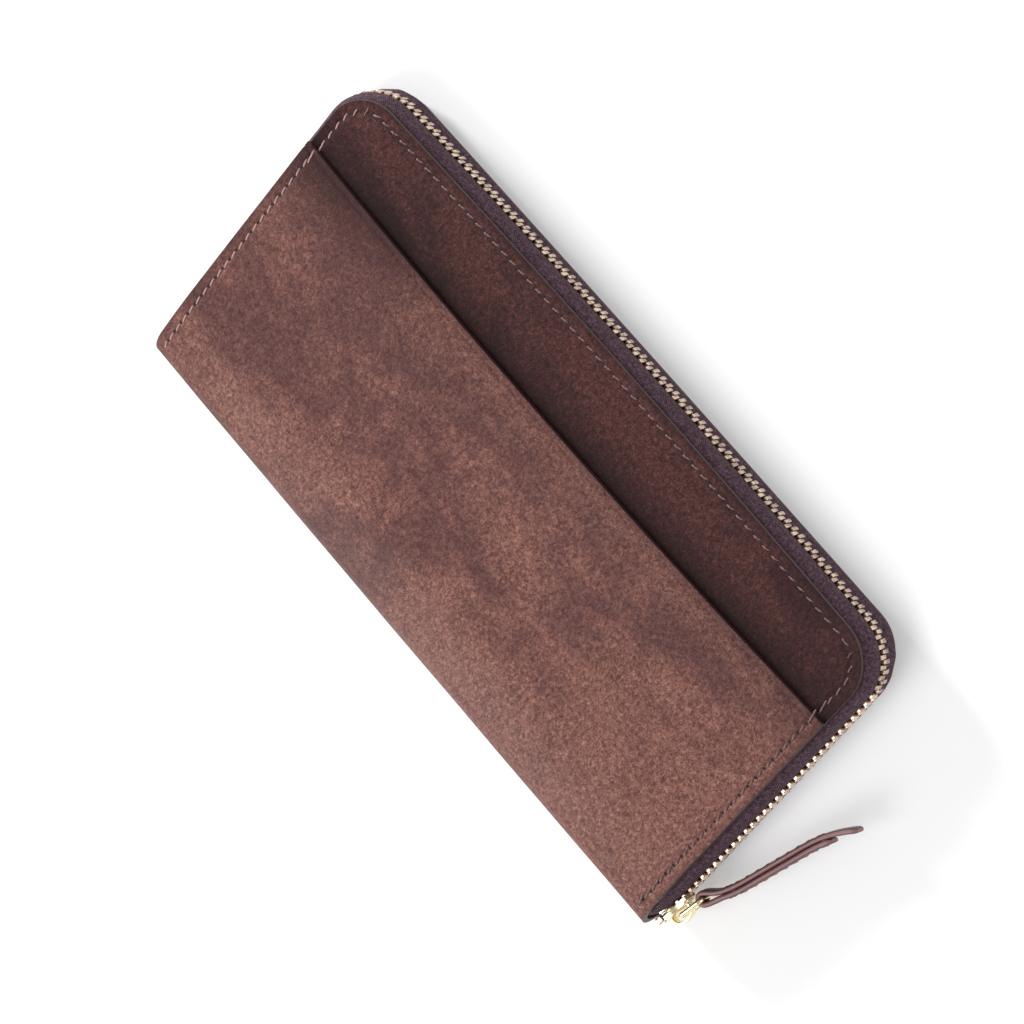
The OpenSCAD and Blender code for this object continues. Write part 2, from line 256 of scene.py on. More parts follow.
def ripple(x, y, size, height, seed=0.0):
    """A soft, seeded unevenness of the hide."""
    return height * noise.noise(Vector((x / size, y / size, seed)))


def groove(d, depth=0.24 * mm, width=0.6 * mm):
    """The valley that a tight seam pulls into the hide, at a distance d from the edge."""
    return -depth * math.exp(-(((d - seam_inset) / width) ** 2))


# %% [markdown]
# ## The cover sheets
# A cover is a rectangle with two rounded corners. It is laid out like a tailor's pattern: a grid in
# the middle, bands that follow the edges and a fan in each corner, so that rows of points run along
# the seam all the way round.

# %% Pattern of a cover
insets = [0, 0.35, 0.8, 1.4, 2.0, 2.45, 2.75, 3.0, 3.25, 3.55, 4.0, 4.8, 6.2, 8.6, 12]
insets = [d * mm for d in insets]
grid_step = 1.55 * mm
fan_steps = 14


def columns():
    inner = steps(-corner_x, corner_x, grid_step)
    left = [-half_length + d for d in insets[:-1]]
    return left + inner + [-x for x in reversed(left)], inner


def cover_pattern(y_low):
    """Tables of (x, y, distance from the edge) that make up a cover."""
    wide, inner = columns()
    rows = steps(y_low, corner_y, grid_step)
    body = [[(x, y, half_length - abs(x)) for x in wide] for y in rows]
    band = [[(x, edge_y - d, d) for x in inner] for d in reversed(insets)]
    fans = []
    for side in (-1, 1):
        fan = []
        for k in range(fan_steps + 1):
            a = math.pi / 2 * k / fan_steps
            fan.append([
                (side * (corner_x + (corner - d) * math.cos(a)),
                 corner_y + (corner - d) * math.sin(a), d)
                for d in insets
            ])
        fans.append(fan)
    return [body, band] + fans


def shape(tables, place):
    """Turns the pattern's entries into points."""
    return [[[place(*entry) for entry in row] for row in table] for table in tables]


def edge_marks(tables):
    """Keeps the distance from the edge on every point, for the burnishing."""
    return [[[(entry[0], entry[2]) for entry in row] for row in table] for table in tables]


# %% [markdown]
# ## The upper front panel
# Behind the pocket lies a full panel with rounded corners. Only its top strip shows, sunk below the
# pocket by the thickness of the hide.

# %% Build the front panel
def on_panel(x, y, d):
    up = crown(x, y) + groove(d) + ripple(x, y, 22 * mm, 0.12 * mm, 3.0)
    return Vector((x, y + bow(x, y), panel_z + up))


def upward(_):
    return Vector((0, 0, 1))


pattern = cover_pattern(fold_y)
front_leather = weave("front_leather", shape(pattern, on_panel), edge_marks(pattern))
thicken(front_leather, hide, upward)
dress(front_leather, "front_cover", "panel_hide", "front_panel")
print("front panel:", len(front_leather.data.polygons), "faces")

# %% [markdown]
# ## One hide for pocket, spine and back
# On the bench this is a single long piece. It starts at the pocket's mouth, runs down the front,
# rolls round the spine and goes up the back, where it gets the same two rounded corners. A path in
# the side view describes the roll, and the cover pattern finishes the back.

# %% Path of the wrap
mouth_rows = [0, 0.3, 0.7, 1.1, 1.4, 1.7, 2.0, 2.3, 2.8, 3.6, 4.8]


def wrap_path():
    """Side view of the wrap: (y, z, normal y, normal z, distance from the mouth)."""
    path = [(mouth_y - t * mm, pocket_z, 0.0, 1.0, t * mm) for t in mouth_rows]
    for y in steps(path[-1][0], fold_y, grid_step)[1:]:
        path.append((y, pocket_z, 0.0, 1.0, mouth_y - y))
    turns = 40
    for k in range(1, turns + 1):
        a = math.pi * (0.5 + k / turns)
        n = (math.cos(a), math.sin(a))
        path.append((fold_y + spine_radius * n[0], spine_radius + spine_radius * n[1], *n, 1.0))
    for y in steps(fold_y, corner_y, grid_step)[1:]:
        path.append((y, 0.0, 0.0, -1.0, 1.0))
    return path


def seam_fade(ny):
    """The side seams stop where the hide rolls over the spine."""
    return max(0.0, min(1.0, (0.55 - abs(ny)) / 0.25))


def on_wrap(x, y, z, ny, nz, from_mouth):
    d = half_length - abs(x)
    front = max(nz, 0.0)
    lift = crown(x, max(y, fold_y)) * front
    near_mouth = math.exp(-from_mouth / (14 * mm)) * front
    lift += mouth_gap * hump(x) * near_mouth
    lift += ripple(x, y + z, 24 * mm, 0.14 * mm, 7.0) * (front + 0.6 * abs(ny))
    lift += groove(d) * seam_fade(ny)
    lift -= 0.3 * mm * math.exp(-(((from_mouth - 1.75 * mm) / (0.28 * mm)) ** 2))
    dip = -mouth_dip * hump(x) * math.exp(-from_mouth / (22 * mm)) * front
    shift = dip + (bow(x, y, True) if nz < -0.5 else 0.0)
    return Vector((x, y + ny * lift + shift, z + nz * lift))


def on_back(x, y, d):
    return Vector((x, y + bow(x, y, True), -groove(d)))


def build_wrap():
    wide, _ = columns()
    rolled = [[on_wrap(x, *row) for x in wide] for row in wrap_path()]
    edges = [[(x, min(half_length - abs(x), row[4])) for x in wide] for row in wrap_path()]
    ends = cover_pattern(corner_y)[1:]
    return weave("outer_leather", [rolled] + shape(ends, on_back), [edges] + edge_marks(ends))


def outward(p):
    if abs(p.z - spine_radius) < spine_radius * 0.9:
        return Vector((0, p.y - fold_y, p.z - spine_radius))
    return Vector((0, 0, p.z - spine_radius))


outer_leather = build_wrap()
thicken(outer_leather, hide, outward)
dress(outer_leather, None, "outer_hide",
      "outside_pocket", "spine_leather_front", "spine_leather_rear", "back_panel")
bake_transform(outer_leather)
print("outer hide:", len(outer_leather.data.polygons), "faces")

# %% [markdown]
# ## A line round the rim
# Tape, teeth and stitches all follow the same line: up one short side, round a corner, along the
# zip edge and down the other side. One function walks that line at any distance outside the
# leather's edge, so an inset seam has a negative distance.

# %% Walk the rim
def rim_length(out, y_start):
    return 2 * (corner_y - y_start) + math.pi * (corner + out) + 2 * corner_x


def rim(s, out, y_start, back=False):
    """Point and outward direction at a length s along the rim, out beyond the leather's edge."""
    side = corner_y - y_start
    arc = math.pi / 2 * (corner + out)
    top = 2 * corner_x
    if s <= side:
        x, y, n = half_length + out, y_start + s, (1.0, 0.0)
    elif s <= side + arc:
        a = (s - side) / (corner + out)
        n = (math.cos(a), math.sin(a))
        x, y = corner_x + (corner + out) * n[0], corner_y + (corner + out) * n[1]
    elif s <= side + arc + top:
        x, y, n = corner_x - (s - side - arc), edge_y + out, (0.0, 1.0)
    elif s <= side + 2 * arc + top:
        a = math.pi / 2 + (s - side - arc - top) / (corner + out)
        n = (math.cos(a), math.sin(a))
        x, y = -corner_x + (corner + out) * n[0], corner_y + (corner + out) * n[1]
    else:
        x, y, n = -half_length - out, corner_y - (s - side - 2 * arc - top), (-1.0, 0.0)
    return Vector((x, y + bow(x, y, back), 0)), Vector((n[0], n[1], 0))


print("rim:", round(rim_length(0, fold_y) / mm), "mm long")

# %% [markdown]
# ## Zip tape
# Each tape is sewn flat under the leather, turns over the edge and runs down to the teeth. It is a
# strip with a curved cross section, swept round the rim. Cloth can't be bent edgewise without
# puckering, so in the two corners the strip gets a few soft folds. The length along the tape and
# the place across it are stored on the points for the weave.

# %% Build the tapes
tape_bulge = {1: 0.5 * mm, -1: 0.25 * mm}
chain_tuck = 0.8 * mm
tape_reach = 6.5 * mm
tape_thick = 0.45 * mm
tape_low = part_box("zip_tape_front")[0].y
tape_rise = panel_z - hide - zip_z - 0.1 * mm


def tape_section():
    """(out, height over the zip's middle, length) from the sewn edge to the teeth."""
    bend = 4.0 * mm
    line = [(-tape_reach, tape_rise), (-3 * mm, tape_rise), (-0.6 * mm, tape_rise)]
    for k in range(9):
        a = math.pi / 2 * k / 8
        line.append((chain_out * math.sin(a), bend + (tape_rise - bend) * math.cos(a)))
    line += [(chain_out, 3.1 * mm), (chain_out - 0.05 * mm, 2.2 * mm),
             (chain_out - 0.1 * mm, 1.3 * mm), (chain_out - 0.25 * mm, 0.6 * mm)]
    run = 0.0
    made = []
    for i, (o, h) in enumerate(line):
        if i:
            run += math.dist(line[i - 1], (o, h))
        made.append((o, h, run))
    return made


def tape(name, up, s_values, y_start):
    table, marks = [], []
    for s in s_values:
        row, mark = [], []
        where = rim(s, 0, y_start)[1]
        bend = abs(where.x * where.y) * 2
        for out, height, run in tape_section():
            show = max(0.0, min(1.0, (out + 1 * mm) / (2 * mm)))
            fold = noise.noise(Vector((s / (4.2 * mm), up * 5.0, run / (9 * mm))))
            free = min(1.0, abs(height - 1.5 * mm) / (3 * mm))
            puff = (0.12 + 0.5 * bend) * mm * fold * show * free
            swell = tape_bulge[up] * math.sin(math.pi * min(1.0, height / tape_rise)) ** 2 * show
            swell *= 0.15 + 0.85 * abs(where.y)
            centre, n = rim(s, 0, y_start)
            if up < 0:
                centre = centre.lerp(rim(s, 0, y_start, True)[0], min(1.0, height / (4 * mm)))
            p = centre + n * (out + puff + swell - chain_tuck * abs(n.y) * show)
            row.append(Vector((p.x, p.y, zip_z + up * height)))
            mark.append((s, run))
        table.append(row)
        marks.append(mark)
    piece = weave(name, [table], [marks])
    return thicken(piece, tape_thick, lambda p: Vector((p.x, p.y, up * 0.02)), 0.0)


tape_steps = steps(0, rim_length(0, tape_low), 0.9 * mm)
front_tape = tape("front_tape", 1, tape_steps, tape_low)
dress(front_tape, "front_cover", "zip_tape", "zip_tape_front")
back_tape = tape("back_tape", -1, tape_steps, tape_low)
dress(back_tape, "back_cover", "zip_tape", "zip_tape_rear")
print("tape:", round(rim_length(0, tape_low) / mm), "mm along the leather's edge")

# %% [markdown]
# ## The tape's tails
# Below the slider the two tapes are turned in and caught between the spine and its lining. The
# tails narrow to a point there.

# %% Build the tails
def tails(name):
    table, marks = [[], []], [[], []]
    low = fold_y - 6.8 * mm
    for side in (0, 1):
        sign = 1 if side else -1
        for y in steps(tape_low + 0.4 * mm, low, 0.7 * mm):
            t = (tape_low - y) / (tape_low - low)
            depth = max(0.0, min(1.0, t))
            round_limit = math.sqrt(max(0.0, (spine_radius - hide) ** 2 - min(0.0, y - fold_y) ** 2))
            row, mark = [], []
            for k in range(17):
                a = -1 + k / 8
                top = min(tape_rise, round_limit + 0.3 * mm)
                h = a * top * (1 - 0.12 * depth)
                edge = 1 - abs(a) ** 4
                x = half_length + (chain_out - 0.15 * mm) * edge * (1 - depth ** 3)
                x -= 1.0 * mm * depth ** 4
                x -= 0.5 * mm * math.exp(-((h / (1.1 * mm)) ** 2)) * depth
                row.append(Vector((sign * x, y, zip_z + h)))
                mark.append((y - tape_low, a * 8 * mm))
            table[side].append(row)
            marks[side].append(mark)
    piece = weave(name, table, marks)
    return thicken(piece, 0.35 * mm, lambda p: Vector((p.x, 0, 0)), 0.0)


tape_tails = tails("tape_tails")
dress(tape_tails, None, "zip_tape", "zip_tail_front", "zip_tail_rear")
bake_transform(tape_tails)

# %% [markdown]
# ## Teeth
# A metal tooth is a small casting clamped on the tape's edge, with a head that hooks between two
# teeth of the other row. One rounded tooth is made with a bevel, then copied along the rim. The
# rows sit half a pitch apart, and each row is split where the mechanics split it.

# %% Build the teeth
tooth_pitch = 2.45 * mm
tooth_deep = 1.5 * mm
first_tooth_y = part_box("zip_teeth_rear_sides")[0].y + 0.68 * mm


def tooth_shape(k=1.0):
    """A tooth as points and faces. Local axes: along the chain, across it, outwards."""
    outline = [(-0.34, -0.6), (0.34, -0.6), (0.5, -0.38), (0.44, 0.35), (0.54, 0.8),
               (0.54, 2.08), (0.4, 2.3), (-0.4, 2.3), (-0.54, 2.08), (-0.54, 0.8),
               (-0.44, 0.35), (-0.5, -0.38)]
    bm = bmesh.new()
    base = [bm.verts.new((a * mm * k, b * mm * k, -tooth_deep * k / 2)) for a, b in outline]
    face = bm.faces.new(base)
    made = bmesh.ops.extrude_face_region(bm, geom=[face])["geom"]
    top = [v for v in made if isinstance(v, bmesh.types.BMVert)]
    bmesh.ops.translate(bm, verts=top, vec=(0, 0, tooth_deep * k))
    rims = [e for e in bm.edges if abs(e.verts[0].co.z - e.verts[1].co.z) < 1e-7]
    bmesh.ops.bevel(bm, geom=rims, offset=0.12 * mm * k, segments=2, profile=0.5, affect="EDGES")
    bmesh.ops.recalc_face_normals(bm, faces=bm.faces)
    bm.verts.index_update()
    shape = ([v.co.copy() for v in bm.verts], [[v.index for v in f.verts] for f in bm.faces])
    bm.free()
    return shape


def place_copies(name, shape, frames):
    """One mesh with a copy of a shape at each frame of (origin, three axes)."""
    points, faces = [], []
    for origin, a, b, c in frames:
        start = len(points)
        points += [origin + a * p.x + b * p.y + c * p.z for p in shape[0]]
        turned = a.cross(b).dot(c) < 0
        for f in shape[1]:
            ids = [start + i for i in f]
            faces.append(ids[::-1] if turned else ids)
    mesh = bpy.data.meshes.new(name)
    mesh.from_pydata(points, [], faces)
    piece = link(name, mesh)
    smooth(piece, 40)
    return piece


def chain_frames(up, sides):
    side_length = corner_y - first_tooth_y
    last_low = fold_y + 3.6 * mm
    total = rim_length(chain_out, first_tooth_y) - (last_low - first_tooth_y)
    count = math.floor((total - tooth_pitch) / tooth_pitch)
    frames = []
    for i in range(count + 1):
        s = (i + (0.5 if up > 0 else 0.0)) * tooth_pitch
        on_side = s < side_length or s > total - (corner_y - last_low)
        if on_side != sides:
            continue
        p, n = rim(s, chain_out, first_tooth_y)
        along = Vector((-n.y, n.x, 0))
        jitter = ripple(s, up * 0.3, 0.9 * mm, 0.05 * mm, 11.0)
        tuck = chain_tuck * abs(n.y)
        frames.append((Vector((p.x, p.y, zip_z)) + n * (jitter - tuck), along, Vector((0, 0, up)), n))
    return frames


tooth = tooth_shape()
for row_name, up, body in (("rear", -1, "back_cover"), ("front", 1, "front_cover")):
    for stretch, sides in (("top", False), ("sides", True)):
        row = place_copies(f"teeth_{row_name}_{stretch}", tooth, chain_frames(up, sides))
        dress(row, body, "teeth_brass", f"zip_teeth_{row_name}_{stretch}")
        print(row.name, len(row.data.polygons), "faces")

# %% [markdown]
# ## Saddle stitches
# Each stitch is a short, bowed length of thread whose two ends dive into needle holes. The awl
# leaves a slanted hole, so the stitches lie at a slight angle to the seam. Every stitch is a small
# swept tube, and every hole a shallow lens coloured near black as painted shade. Both follow the
# surface of the leather below them.

# %% Stitch helpers
def stitch_shape(length=2.3 * mm, thick=0.26 * mm, slant=0.24):
    """A bowed, tapered tube. Local axes: along the seam, across it, up."""
    rings, sides = 9, 8
    points, faces = [], []
    for i in range(rings):
        t = i / (rings - 1)
        x = (t - 0.5) * length
        lift = 0.24 * mm * math.sin(math.pi * t) ** 0.7 - 0.14 * mm
        r = thick * (0.55 + 0.45 * math.sin(math.pi * t) ** 0.5)
        for j in range(sides):
            a = 2 * math.pi * j / sides
            points.append(Vector((x, x * slant + r * math.cos(a), lift + 0.8 * r * math.sin(a))))
    for i in range(rings - 1):
        for j in range(sides):
            k = (j + 1) % sides
            a, b = i * sides, (i + 1) * sides
            faces.append([a + j, b + j, b + k, a + k])
    faces.append(list(range(sides)))
    faces.append([(rings - 1) * sides + j for j in reversed(range(sides))])
    return points, faces


def hole_shape(radius=0.52 * mm):
    """A shallow, closed lens, drawn out across the seam."""
    sides = 10
    points = [Vector((0, 0, 0.03 * mm)), Vector((0, 0, -0.05 * mm))]
    for j in range(sides):
        a = 2 * math.pi * j / sides
        points.append(Vector((0.75 * radius * math.cos(a), radius * math.sin(a), 0)))
    faces = []
    for j in range(sides):
        k = (j + 1) % sides
        faces.append([0, 2 + j, 2 + k])
        faces.append([1, 2 + k, 2 + j])
    return points, faces


def front_height(x, y):
    """Height of the front's surface, pocket or panel, and on the roll of the spine."""
    z = (pocket_z if y < mouth_y else panel_z) + crown(x, max(y, fold_y))
    if y < fold_y:
        drop = math.sqrt(max(0.0, spine_radius ** 2 - (fold_y - y) ** 2))
        z += drop - spine_radius
    return z


def seam_frames(y_start, up, offset=0.0):
    """Frames of the stitches and of the holes between them, round the rim."""
    stitches, holes = [], []
    total = rim_length(-seam_inset, y_start)
    count = round(total / stitch_pitch)
    pitch = total / count
    for i in range(count + 1):
        for kind, s in (("stitch", (i + 0.5) * pitch), ("hole", i * pitch)):
            if s > total:
                continue
            p, n = rim(s, -seam_inset, y_start)
            along = Vector((-n.y, n.x, 0))
            across = Vector((0, 0, up)).cross(along)
            z = front_height(p.x, p.y) - 0.2 * mm if up > 0 else 0.2 * mm
            lift = 0.0 if kind == "stitch" else 0.06 * mm
            tilt = 0.0
            if up > 0 and p.y < fold_y:
                tilt = math.asin(min(1.0, (fold_y - p.y) / spine_radius))
            normal = Vector((0, -math.sin(tilt), math.cos(tilt) * up))
            if abs(along.y) > 0.5:
                along = Vector((0, math.cos(tilt), math.sin(tilt))) * math.copysign(1, along.y)
            wobble = ripple(s, offset, 2.0 * mm, 0.06 * mm, 5.0)
            spot = Vector((p.x, p.y, z)) + across * (offset + wobble) + normal * lift
            (stitches if kind == "stitch" else holes).append((spot, along, across, normal))
    return stitches, holes


# %% [markdown]
# At the mouth's ends and by the spine the maker sews back over the last stitches, which shows as a
# doubled thread. Those extra stitches are copies that are shifted by half a pitch.

# %% Sew the front and the back
seam_low = fold_y - 4.6 * mm


def near_backtack(spot):
    by_mouth = abs(spot.y - mouth_y) < 3.4 * mm and abs(spot.x) > corner_x
    by_spine = spot.y < seam_low + 11 * mm and spot.x > 0
    return by_mouth or by_spine


def sew(name, up, y_start):
    stitches, holes = seam_frames(y_start, up)
    extra = []
    for spot, along, across, normal in stitches:
        if up > 0 and near_backtack(spot):
            shift = along * (stitch_pitch * 0.5) + across * (0.34 * mm) + normal * (0.05 * mm)
            extra.append((spot + shift, along, across, normal))
    thread = place_copies(name + "_thread", stitch_shape(), stitches + extra)
    pits = place_copies(name + "_holes", hole_shape(), holes)
    return thread, pits


front_thread, front_holes = sew("front_seam", 1, seam_low)
back_thread, back_holes = sew("back_seam", -1, fold_y + 2 * mm)
for piece, slot in ((front_thread, "outer_hide"), (front_holes, "outer_hide")):
    dress(piece, None, slot)
    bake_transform(piece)
for piece in (back_thread, back_holes):
    dress(piece, "back_cover", "outer_hide")
print("stitches:", len(front_thread.data.polygons) // 66, "front")

# %% [markdown]
# ## Slider
# The slider is a zinc or brass casting: two plates joined by a wedge, lips that hold the tapes and
# an arched bridge for the pull. Each plate is cut from a smooth outline and its edges are rounded,
# because a polished casting has no sharp edge.

# %% Build the slider
slider_low, slider_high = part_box("zip_slider")
slider_x = half_length + chain_out
slider_y = slider_low.y
slider_length = slider_high.y - slider_low.y
ring_joint = Vector(joint["ring_swing"]["pos_m"])
strap_joint = Vector(joint["strap_swing"]["pos_m"])


def slider_width(t):
    """Half width of the plates from the mouth, t = 0, to the tail, t = 1."""
    shoulder = 1 / (1 + math.exp((t - 0.47) * 16))
    return (2.95 + 0.6 * shoulder) * mm


def slider_outline():
    """Smooth outline of a plate as (across, along) points."""
    half = []
    for k in range(25):
        t = k / 24
        ends = math.sqrt(max(0.0, 1 - abs(2 * t - 1) ** 9))
        half.append((slider_width(t) * ends, t * slider_length))
    return half + [(-a, b) for a, b in reversed(half[1:-1])]


def slab(name, outline, low, high, rounding, to_world):
    """An outline given a thickness from low to high, with rounded edges."""
    bm = bmesh.new()
    face = bm.faces.new([bm.verts.new((a, b, low)) for a, b in outline])
    made = bmesh.ops.extrude_face_region(bm, geom=[face])["geom"]
    top = [v for v in made if isinstance(v, bmesh.types.BMVert)]
    bmesh.ops.translate(bm, verts=top, vec=(0, 0, high - low))
    rims = [e for e in bm.edges if abs(e.verts[0].co.z - e.verts[1].co.z) < 1e-7]
    bmesh.ops.bevel(bm, geom=rims, offset=rounding, segments=3, profile=0.5, affect="EDGES")
    bmesh.ops.transform(bm, matrix=to_world, verts=bm.verts)
    bmesh.ops.recalc_face_normals(bm, faces=bm.faces)
    mesh = bpy.data.meshes.new(name)
    bm.to_mesh(mesh)
    bm.free()
    return link(name, mesh)


def chain_axes(origin):
    """From (across, along, out) to the row frame: across is down, along is +Y, out is +X."""
    turn = Matrix(((0, 0, 1), (0, 1, 0), (-1, 0, 0))).to_4x4()
    return Matrix.Translation(origin) @ turn


def build_slider(name, origin):
    world = chain_axes(origin)
    gap, plate = 1.15 * mm, 0.9 * mm
    parts = []
    for sign in (-1, 1):
        low, high = sorted((sign * gap, sign * (gap + plate)))
        parts.append(slab("plate", slider_outline(), low, high, 0.28 * mm, world))
        for edge in (-1, 1):
            lip = []
            for k in range(17):
                t = 0.1 + 0.84 * k / 16
                lip.append((edge * (slider_width(t) - 0.02 * mm), t * slider_length))
            for k in range(16, -1, -1):
                t = 0.1 + 0.84 * k / 16
                lip.append((edge * (slider_width(t) - 0.5 * mm), t * slider_length))
            low, high = sorted((sign * 0.45 * mm, sign * (gap + 0.3 * mm)))
            parts.append(slab("lip", lip, low, high, 0.1 * mm, world))
    wedge = [(-0.2, 0.5), (0.2, 0.5), (0.4, 1.6), (0.15, 3.3), (-0.15, 3.3), (-0.4, 1.6)]
    wedge = [(a * mm, b * mm) for a, b in wedge]
    parts.append(slab("wedge", wedge, -gap - 0.1 * mm, gap + 0.1 * mm, 0.05 * mm, world))
    hang = ring_joint.y - slider_y
    parts.append(bridge(world, gap + plate, hang, 2.95 * mm, 3.05 * mm, 1.2 * mm, 0.4 * mm))
    return join(name, parts)


def bridge(world, base, pivot, rise, half_span, half_wide, half_thick):
    """The arch that the ring hangs from, with feet that sink into the plate."""
    path = []
    for k in range(29):
        a = math.pi * k / 28
        bulge = math.sin(a) ** 0.62
        p = Vector((0, pivot - half_span * math.cos(a), base - 0.35 * mm + rise * bulge))
        path.append(p)
    frames = []
    for k, p in enumerate(path):
        ahead = path[min(k + 1, len(path) - 1)] - path[max(k - 1, 0)]
        normal = Vector((0, -ahead.z, ahead.y)).normalized()
        frames.append((p, Vector((1, 0, 0)), normal))
    section = []
    for k in range(16):
        a = 2 * math.pi * k / 16
        c, s = math.cos(a), math.sin(a)
        section.append((half_wide * math.copysign(abs(c) ** 0.5, c),
                        half_thick * math.copysign(abs(s) ** 0.7, s)))
    arch = sweep("bridge", frames, section)
    arch.data.transform(world)
    return arch


slider = build_slider("slider_casting", Vector((slider_x, slider_y, zip_z)))
dress(slider, "zip_slider_body", "slider_brass", "zip_slider")
print("slider:", round(slider_length / mm, 1), "mm long")

# %% [markdown]
# ## Ring
# The ring is bent from round wire into a rounded rectangle. A round section is swept along that
# loop.

# %% Build the ring
wire = 0.6 * mm
ring_half = 3.1 * mm
ring_bend = 1.3 * mm


def ring_loop():
    """The wire's centre line as (across, along) with its outward normal."""
    length = (strap_joint - ring_joint).length
    w, l, r = ring_half - ring_bend, length, ring_bend
    loop = []
    for cx, cy, start in ((w, r, -90), (w, l - r, 0), (-w, l - r, 90), (-w, r, 180)):
        for k in range(9):
            a = math.radians(start + 90 * k / 8)
            n = Vector((math.cos(a), math.sin(a)))
            loop.append((Vector((cx, cy)) + r * n, n))
    return loop


def build_ring(name):
    ahead = (strap_joint - ring_joint).normalized()
    across = Vector((0, 0, 1))
    third = ahead.cross(across)
    frames = []
    for p, n in ring_loop():
        side = across * n.x + ahead * n.y
        frames.append((ring_joint + across * p.x + ahead * p.y, side, third))
    section = [(wire * math.cos(a), wire * math.sin(a))
               for a in (2 * math.pi * k / 14 for k in range(14))]
    return sweep(name, frames, section, closed=True)


ring = build_ring("wire_ring")
dress(ring, "ring_body", "slider_brass", "pull_ring")

# %% [markdown]
# ## Strap
# The strap is one strip folded round the ring. Its two ends are cut to different lengths and the
# layers are sewn together. Leather holds a little of the curve it was pulled into, so the centre
# line is a shallow S. The long edges are burnished round.

# %% Build the strap
strap_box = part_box("pull_strap")
strap_wide = strap_box[1].z - strap_box[0].z
layer = 1.4 * mm
loop_radius = wire + 0.15 * mm + layer / 2
strap_angle = math.radians(21)
strap_long = 46 * mm
strap_short = 38.6 * mm
strap_step = 0.8 * mm


def ease(value, low, high):
    """0 below low, 1 above high, smooth between."""
    k = max(0.0, min(1.0, (value - low) / (high - low)))
    return k * k * (3 - 2 * k)


def strap_slope(u):
    """Sideways slope of the strap along its length: it leaves low, rises, and its tip curls back."""
    return -0.12 + 0.28 * (1 - ease(u, 0, 0.3)) + 0.42 * ease(u, 0.62, 1.05)


def strap_sway(t):
    cuts = 24
    return sum(strap_slope((k + 0.5) / cuts * t / strap_long) for k in range(cuts)) * t / cuts


def strap_line(t, sign):
    """Centre line of one layer, (sideways, ahead), at a distance t from the ring's bar."""
    apart = layer / 2 + 0.02 * mm
    apart += (loop_radius - apart) * (1 - ease(t, 0, 5 * mm))
    return Vector((sign * apart + strap_sway(t), t))


def strap_path():
    line = [strap_line(t, -1) for t in steps(strap_long, 0, strap_step)]
    for k in range(1, 12):
        a = math.pi + math.pi * k / 12
        line.append(Vector((loop_radius * math.cos(a), loop_radius * math.sin(a))))
    line += [strap_line(t, 1) for t in steps(0, strap_short, strap_step)]
    return line


def burnished(half_wide, half_thick, arc=7):
    """Section of a strap whose edges are burnished round, as (across, through) pairs."""
    section = []
    for side in (1, -1):
        for k in range(arc + 1):
            a = math.pi * (k / arc - 0.5)
            section.append((side * (half_wide - half_thick + half_thick * math.cos(a)),
                            side * half_thick * math.sin(a)))
        for k in range(1, 4):
            section.append((side * (half_wide - half_thick) * (1 - k / 2), side * half_thick))
    return section


def build_strap(name):
    ahead = Vector((math.sin(strap_angle), math.cos(strap_angle), 0))
    side = Vector((ahead.y, -ahead.x, 0))
    line = strap_path()
    frames = []
    for i, q in enumerate(line):
        way = line[min(i + 1, len(line) - 1)] - line[max(i - 1, 0)]
        way.normalize()
        normal = side * way.y - ahead * way.x
        from_tip = min(i, len(line) - 1 - i) * strap_step
        thin = 0.72 + 0.28 * ease(from_tip, 0, 1.0 * mm)
        p = strap_joint + side * q.x + ahead * q.y
        frames.append((p, Vector((0, 0, thin)), normal * thin))
    return sweep(name, frames, burnished(strap_wide / 2, layer / 2), marks=True)


strap = build_strap("strap_leather_fold")
dress(strap, "strap_body", "strap_leather", "pull_strap")


def strap_stitches(name):
    """Thread along both edges of the strap's outer faces."""
    ahead = Vector((math.sin(strap_angle), math.cos(strap_angle), 0))
    side = Vector((ahead.y, -ahead.x, 0))
    frames = []
    for t in steps(7 * mm, strap_short - 3 * mm, 3.3 * mm):
        for sign in (-1, 1):
            q = strap_line(t, sign)
            later = strap_line(t + 0.5 * mm, sign)
            way = (later - q).normalized()
            normal = side * way.y - ahead * way.x
            along = side * way.x + ahead * way.y
            face = strap_joint + side * q.x + ahead * q.y + normal * sign * (layer / 2 - 0.06 * mm)
            for edge in (-1, 1):
                spot = face + Vector((0, 0, edge * (strap_wide / 2 - 1.25 * mm)))
                frames.append((spot, along, Vector((0, 0, 1)), normal * sign))
    return place_copies(name, stitch_shape(2.4 * mm, 0.2 * mm), frames)


strap_thread = strap_stitches("strap_thread")
dress(strap_thread, "strap_body", "strap_leather")
print("strap:", round(strap_long / mm), "mm from the ring")

# %% [markdown]
# ## Linings
# Each cover has a thin lining that hides the board and the hide's flesh side. The two linings are
# cut a millimetre short all round, and a third piece lines the roll of the spine. A lining clings
# to what it covers, so it only shows a very soft unevenness.

# %% Build the linings
def cover_lining(name, node, facing):
    low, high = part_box(node)
    surface = high.z if facing > 0 else low.z
    shrink = (half_length - high.x) / half_length
    entries = cover_pattern(fold_y)

    def place_lining(x, y, _):
        top = max(0.0, (y - fold_y) / (edge_y - fold_y))
        soft = ripple(x, y, 9 * mm, 0.04 * mm, 21.0)
        return Vector((x * (1 - shrink), y - 1 * mm * top, surface + facing * (soft - 0.04 * mm)))

    piece = weave(name, shape(entries, place_lining), edge_marks(entries))
    return thicken(piece, high.z - low.z - 0.08 * mm, lambda _: Vector((0, 0, facing)), 0.12 * mm)


